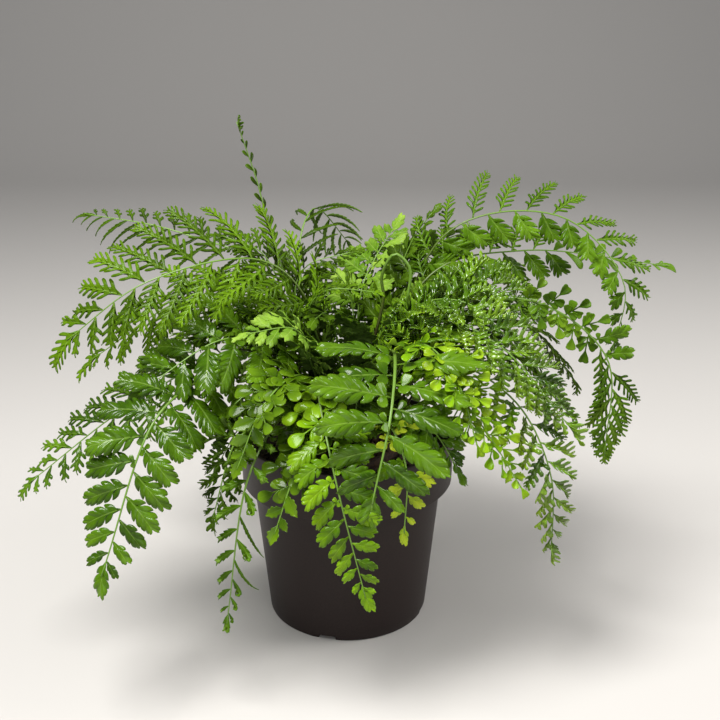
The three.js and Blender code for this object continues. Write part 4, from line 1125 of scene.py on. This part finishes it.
def addBlock(bm, inner, outer, low, high, width, degrees):
    # a box that points outward from the pot's axis
    turn = math.radians(degrees)
    corners = []
    for z in (low, high):
        for r, w in ((inner, -width / 2), (outer, -width / 2), (outer, width / 2), (inner, width / 2)):
            x = r * math.cos(turn) - w * math.sin(turn)
            y = r * math.sin(turn) + w * math.cos(turn)
            corners.append(bm.verts.new((x * mm, y * mm, z * mm)))
    for a, b, c, d in ((3, 2, 1, 0), (4, 5, 6, 7), (0, 1, 5, 4), (1, 2, 6, 5), (2, 3, 7, 6), (3, 0, 4, 7)):
        bm.faces.new((corners[a], corners[b], corners[c], corners[d]))


def combine(piece, cutter, operation):
    modifier = piece.modifiers.new("join", "BOOLEAN")
    modifier.operation = operation
    modifier.object = cutter
    modifier.solver = "EXACT"
    bpy.context.view_layer.objects.active = piece
    bpy.ops.object.modifier_apply(modifier=modifier.name)
    bpy.data.objects.remove(cutter)


def makePot():
    look = potLook
    height, foot, body, band, rim, wall = [
        look[key] for key in ("height", "footRadius", "bodyRadius", "bandRadius", "rimRadius", "wall")
    ]
    low = height - look["bandHeight"]
    # radius and height: the foot, the body, the band, the rim and back down inside
    profile = [
        (0, 0), (foot - 1.2, 0), (foot - 0.4, 0.3), (foot, 1.2), (foot + 0.5, 6.0), (body - 0.2, low - 2),
        (body + 0.2, low - 0.9), (band - 0.9, low - 0.3), (band - 0.3, low - 0.1), (band, low + 0.5),
        (rim - 0.1, height - 1.2), (rim, height - 0.7), (rim - 0.2, height - 0.2), (rim - 0.7, height),
        (rim - wall + 0.2, height - 0.1), (rim - wall, height - 0.5), (band - wall, low + 3),
        (body - wall, low), (foot - wall, look["floor"]), (0, look["floor"]),
    ]
    pot = turnedMesh("nurseryPot", profile, look["sides"])
    inner, top, width = look["drainInner"], look["drainHeight"], look["drainWidth"]
    outside, margin = foot + look["cutPast"], look["padMargin"]
    padTop = top + look["padRoof"]
    middle, half = (inner + foot) / 2 - look["holeInset"], look["holeWidth"] / 2
    # each goes from and to a radius, from and to a height, and has a width
    blocks = {
        "pads": (inner - margin, foot - look["padInset"], look["padLow"], padTop, width + 2 * margin),
        "notches": (inner, outside, -1, top, width),
        "niches": (foot - look["nicheDepth"], outside, -1, top + look["nicheExtra"], look["nicheWidth"]),
        "holes": (middle - half, middle + half, 1, padTop + 1, look["holeWidth"]),
    }
    for name, block in blocks.items():
        solid = bmesh.new()
        for i in range(look["drains"]):
            addBlock(solid, *block, look["drainTurn"] + i * 360 / look["drains"])
        mesh = bpy.data.meshes.new(name)
        solid.to_mesh(mesh)
        solid.free()
        cutter = addObject(name, mesh)
        combine(pot, cutter, "UNION" if name == "pads" else "DIFFERENCE")
    pot.data.shade_smooth()
    pot.data.set_sharp_from_angle(angle=math.radians(look["sharpFrom"]))
    pot.data.materials.clear()
    pot.data.materials.append(makeGrainyMaterial("blackPlastic", look))
    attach(pot, "root")
    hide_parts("pot")


makePot()
print("pot made")


# soil and crown

soilLook = {
    "top": 99.0, "radius": 58.4, "crownRadius": 31.0, "rings": 34, "sides": 130, "lumps": 1.1, "seed": 21,
    "crumbs": 900, "crumbSize": (0.5, 1.5), "crumbForm": (1.3, 0.8, 0.6), "crumbJolt": (0.55, 1.2),
    "dark": "1d140e", "light": "3a2a1d", "speck": "8c8276", "grain": 420.0, "speckShare": 0.5,
    "roughness": 0.95, "bump": 0.8, "bumpDepth": 0.0012,
}


def hills(x, y, rng):
    # a sum of soft waves, the same on each run
    total = np.zeros_like(x)
    for _ in range(16):
        turn, pace, shift = rng.uniform(0, 6.283), rng.uniform(0.12, 0.75), rng.uniform(0, 6.283)
        total = total + np.sin((x * math.cos(turn) + y * math.sin(turn)) * pace + shift) / (1 + 5 * pace)
    return total


def circle(radius, height, turns):
    return np.stack([radius * np.cos(turns), radius * np.sin(turns), np.full_like(turns, height)], -1)


def makeSoil():
    look = soilLook
    rng = random.Random(look["seed"])
    inner, outer = look["crownRadius"], look["radius"]
    radii = np.linspace(inner, outer, look["rings"])
    turns = np.arange(look["sides"]) / look["sides"] * 2 * math.pi
    x = radii[:, None] * np.cos(turns)[None]
    y = radii[:, None] * np.sin(turns)[None]
    z = look["top"] + look["lumps"] * hills(x, y, rng)
    # the root ball: outer side, underside and the hollow for the crown, by radius and height
    profile = [
        (outer, 90.0), (58.1, 85.3), (52.1, 82.3), (44.1, 2.1), (27.4, 2.1), (27.4, 91.7),
        (inner - 0.1, 98.0),
    ]
    shape = newShape()
    ring = np.concatenate([np.stack([x, y, z], -1), np.stack([circle(*row, turns) for row in profile])])
    count = len(ring)
    index = np.arange(count * look["sides"]).reshape(count, look["sides"])
    after = np.roll(index, -1, 1)
    nextRow, nextAfter = np.roll(index, -1, 0), np.roll(after, -1, 0)
    faces = np.stack([index, nextRow, nextAfter, after], -1).reshape(-1, 4)
    addPart(shape, ring.reshape(-1, 3), faces, 0)

    # loose crumbs of peat and bark, sunk a little into the surface
    cube = np.array([(x, y, z) for x in (-1, 1) for y in (-1, 1) for z in (-1, 1)], float)
    cubeFaces = np.array([(0, 1, 3, 2), (4, 6, 7, 5), (0, 4, 5, 1), (2, 3, 7, 6), (0, 2, 6, 4), (1, 5, 7, 3)])
    for _ in range(look["crumbs"]):
        r = math.sqrt(rng.uniform((inner + 2) ** 2, (outer - 2) ** 2))
        turn = rng.uniform(0, 2 * math.pi)
        size = rng.uniform(*look["crumbSize"])
        jolt = np.array([[rng.uniform(*look["crumbJolt"]) for _ in range(3)] for _ in range(8)])
        spin = rng.uniform(0, math.pi)
        lump = cube * jolt * size * np.array(look["crumbForm"])
        c, s = math.cos(spin), math.sin(spin)
        lump = np.stack([lump[:, 0] * c - lump[:, 1] * s, lump[:, 0] * s + lump[:, 1] * c, lump[:, 2]], -1)
        spot = np.array([r * math.cos(turn), r * math.sin(turn), 0.0])
        near = np.argmin(np.hypot(x - spot[0], y - spot[1]))
        spot[2] = z.ravel()[near] + 0.1 * size
        addPart(shape, lump + spot, cubeFaces, 0)
    soil = finishShape(shape, "pottingSoil", [makeGrainyMaterial("pottingSoil", look)])
    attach(soil, "root")
    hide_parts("soil")


crownLook = {
    "profile": [(0.4, 92.0), (27.0, 92.0), (30.2, 98.0), (28.8, 102.0)], "domeRings": 17,
    "ringGap": 1.6, "dome": 3.2, "middle": (0.4, 105.3), "sides": 96, "lumps": 0.8, "lumpPace": 2.2,
    "seed": 9, "scales": 520, "scaleSpread": (1.4, 4.5), "scaleLean": (-0.4, 0.4), "scaleLimit": 28,
    "scaleHeight": 104.6, "scaleLength": (3.0, 6.5), "scaleCurl": (-0.5, 0.9), "scaleThickness": 0.12,
    "dark": "24170f", "light": "4a3320", "speck": "8a6a48", "grain": 500.0, "speckShare": 0.4,
    "roughness": 0.8, "bump": 0.6, "bumpDepth": 0.0008,
}


def addScale(shape, root, along, up, length, curl):
    # a narrow papery scale, bent away from the stalk
    share = np.array([0, 0.3, 0.7, 1.0])
    half = np.array([0.3, 0.45, 0.3, 0.06])
    side = unit(np.cross(along, up))
    bend = up * (-curl * length * 0.4 * share ** 2)[:, None]
    line = root + along * (share * length)[:, None] + bend
    top = line[:, None, :] + side * (half[:, None] * np.array([-1, 0, 1]))[..., None]
    addSheet(shape, top, np.broadcast_to(unit(up), (4, 3)), crownLook["scaleThickness"])


def makeCrown():
    look = crownLook
    rng = random.Random(look["seed"])
    turns = np.arange(look["sides"]) / look["sides"] * 2 * math.pi
    edge, low = look["profile"][-1]
    heights = list(look["profile"])
    for i in range(1, look["domeRings"] + 1):
        rise = math.sin(i / look["domeRings"] * math.pi / 2)
        heights.append((edge - look["ringGap"] * i, low + look["dome"] * rise))
    heights.append(look["middle"])
    rings = []
    for radius, height in heights:
        row = circle(radius, height, turns)
        if height >= low:
            x, y = row[:, 0] * look["lumpPace"], row[:, 1] * look["lumpPace"]
            row[:, 2] += look["lumps"] * hills(x, y, random.Random(look["seed"]))
        rings.append(row)
    ring = np.stack(rings)
    index = np.arange(len(heights) * look["sides"]).reshape(len(heights), look["sides"])
    after = np.roll(index, -1, 1)
    faces = np.stack([index[:-1], after[:-1], after[1:], index[1:]], -1).reshape(-1, 4)
    shape = newShape()
    addPart(shape, ring.reshape(-1, 3), faces, 0)

    # papery brown scales, thickest round the stalks
    stalks = [row[1] for row in fronds.values()]
    for _ in range(look["scales"]):
        root = rng.choice(stalks)
        spread = rng.uniform(*look["scaleSpread"])
        turn = rng.uniform(0, 2 * math.pi)
        x = root[0] * math.cos(math.radians(root[1])) + spread * math.cos(turn)
        y = root[0] * math.sin(math.radians(root[1])) + spread * math.sin(turn)
        inside = min(1, look["scaleLimit"] / max(math.hypot(x, y), 0.1))
        x, y = x * inside, y * inside
        z = look["scaleHeight"] - look["dome"] * (math.hypot(x, y) / edge) ** 2
        up = np.array([math.cos(turn), math.sin(turn), 0.3])
        leanX, leanY = [rng.uniform(*look["scaleLean"]) - up[k] / 2 for k in (0, 1)]
        along = unit(np.array([leanX, leanY, 1.0]))
        length = rng.uniform(*look["scaleLength"])
        addScale(shape, np.array([x, y, z]), along, up, length, rng.uniform(*look["scaleCurl"]))
    material = makeGrainyMaterial("crownScales", look)
    crown = finishShape(shape, "scalyCrown", [material, material])
    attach(crown, "root")
    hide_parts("crown")


makeSoil()
makeCrown()
print("soil and crown made")
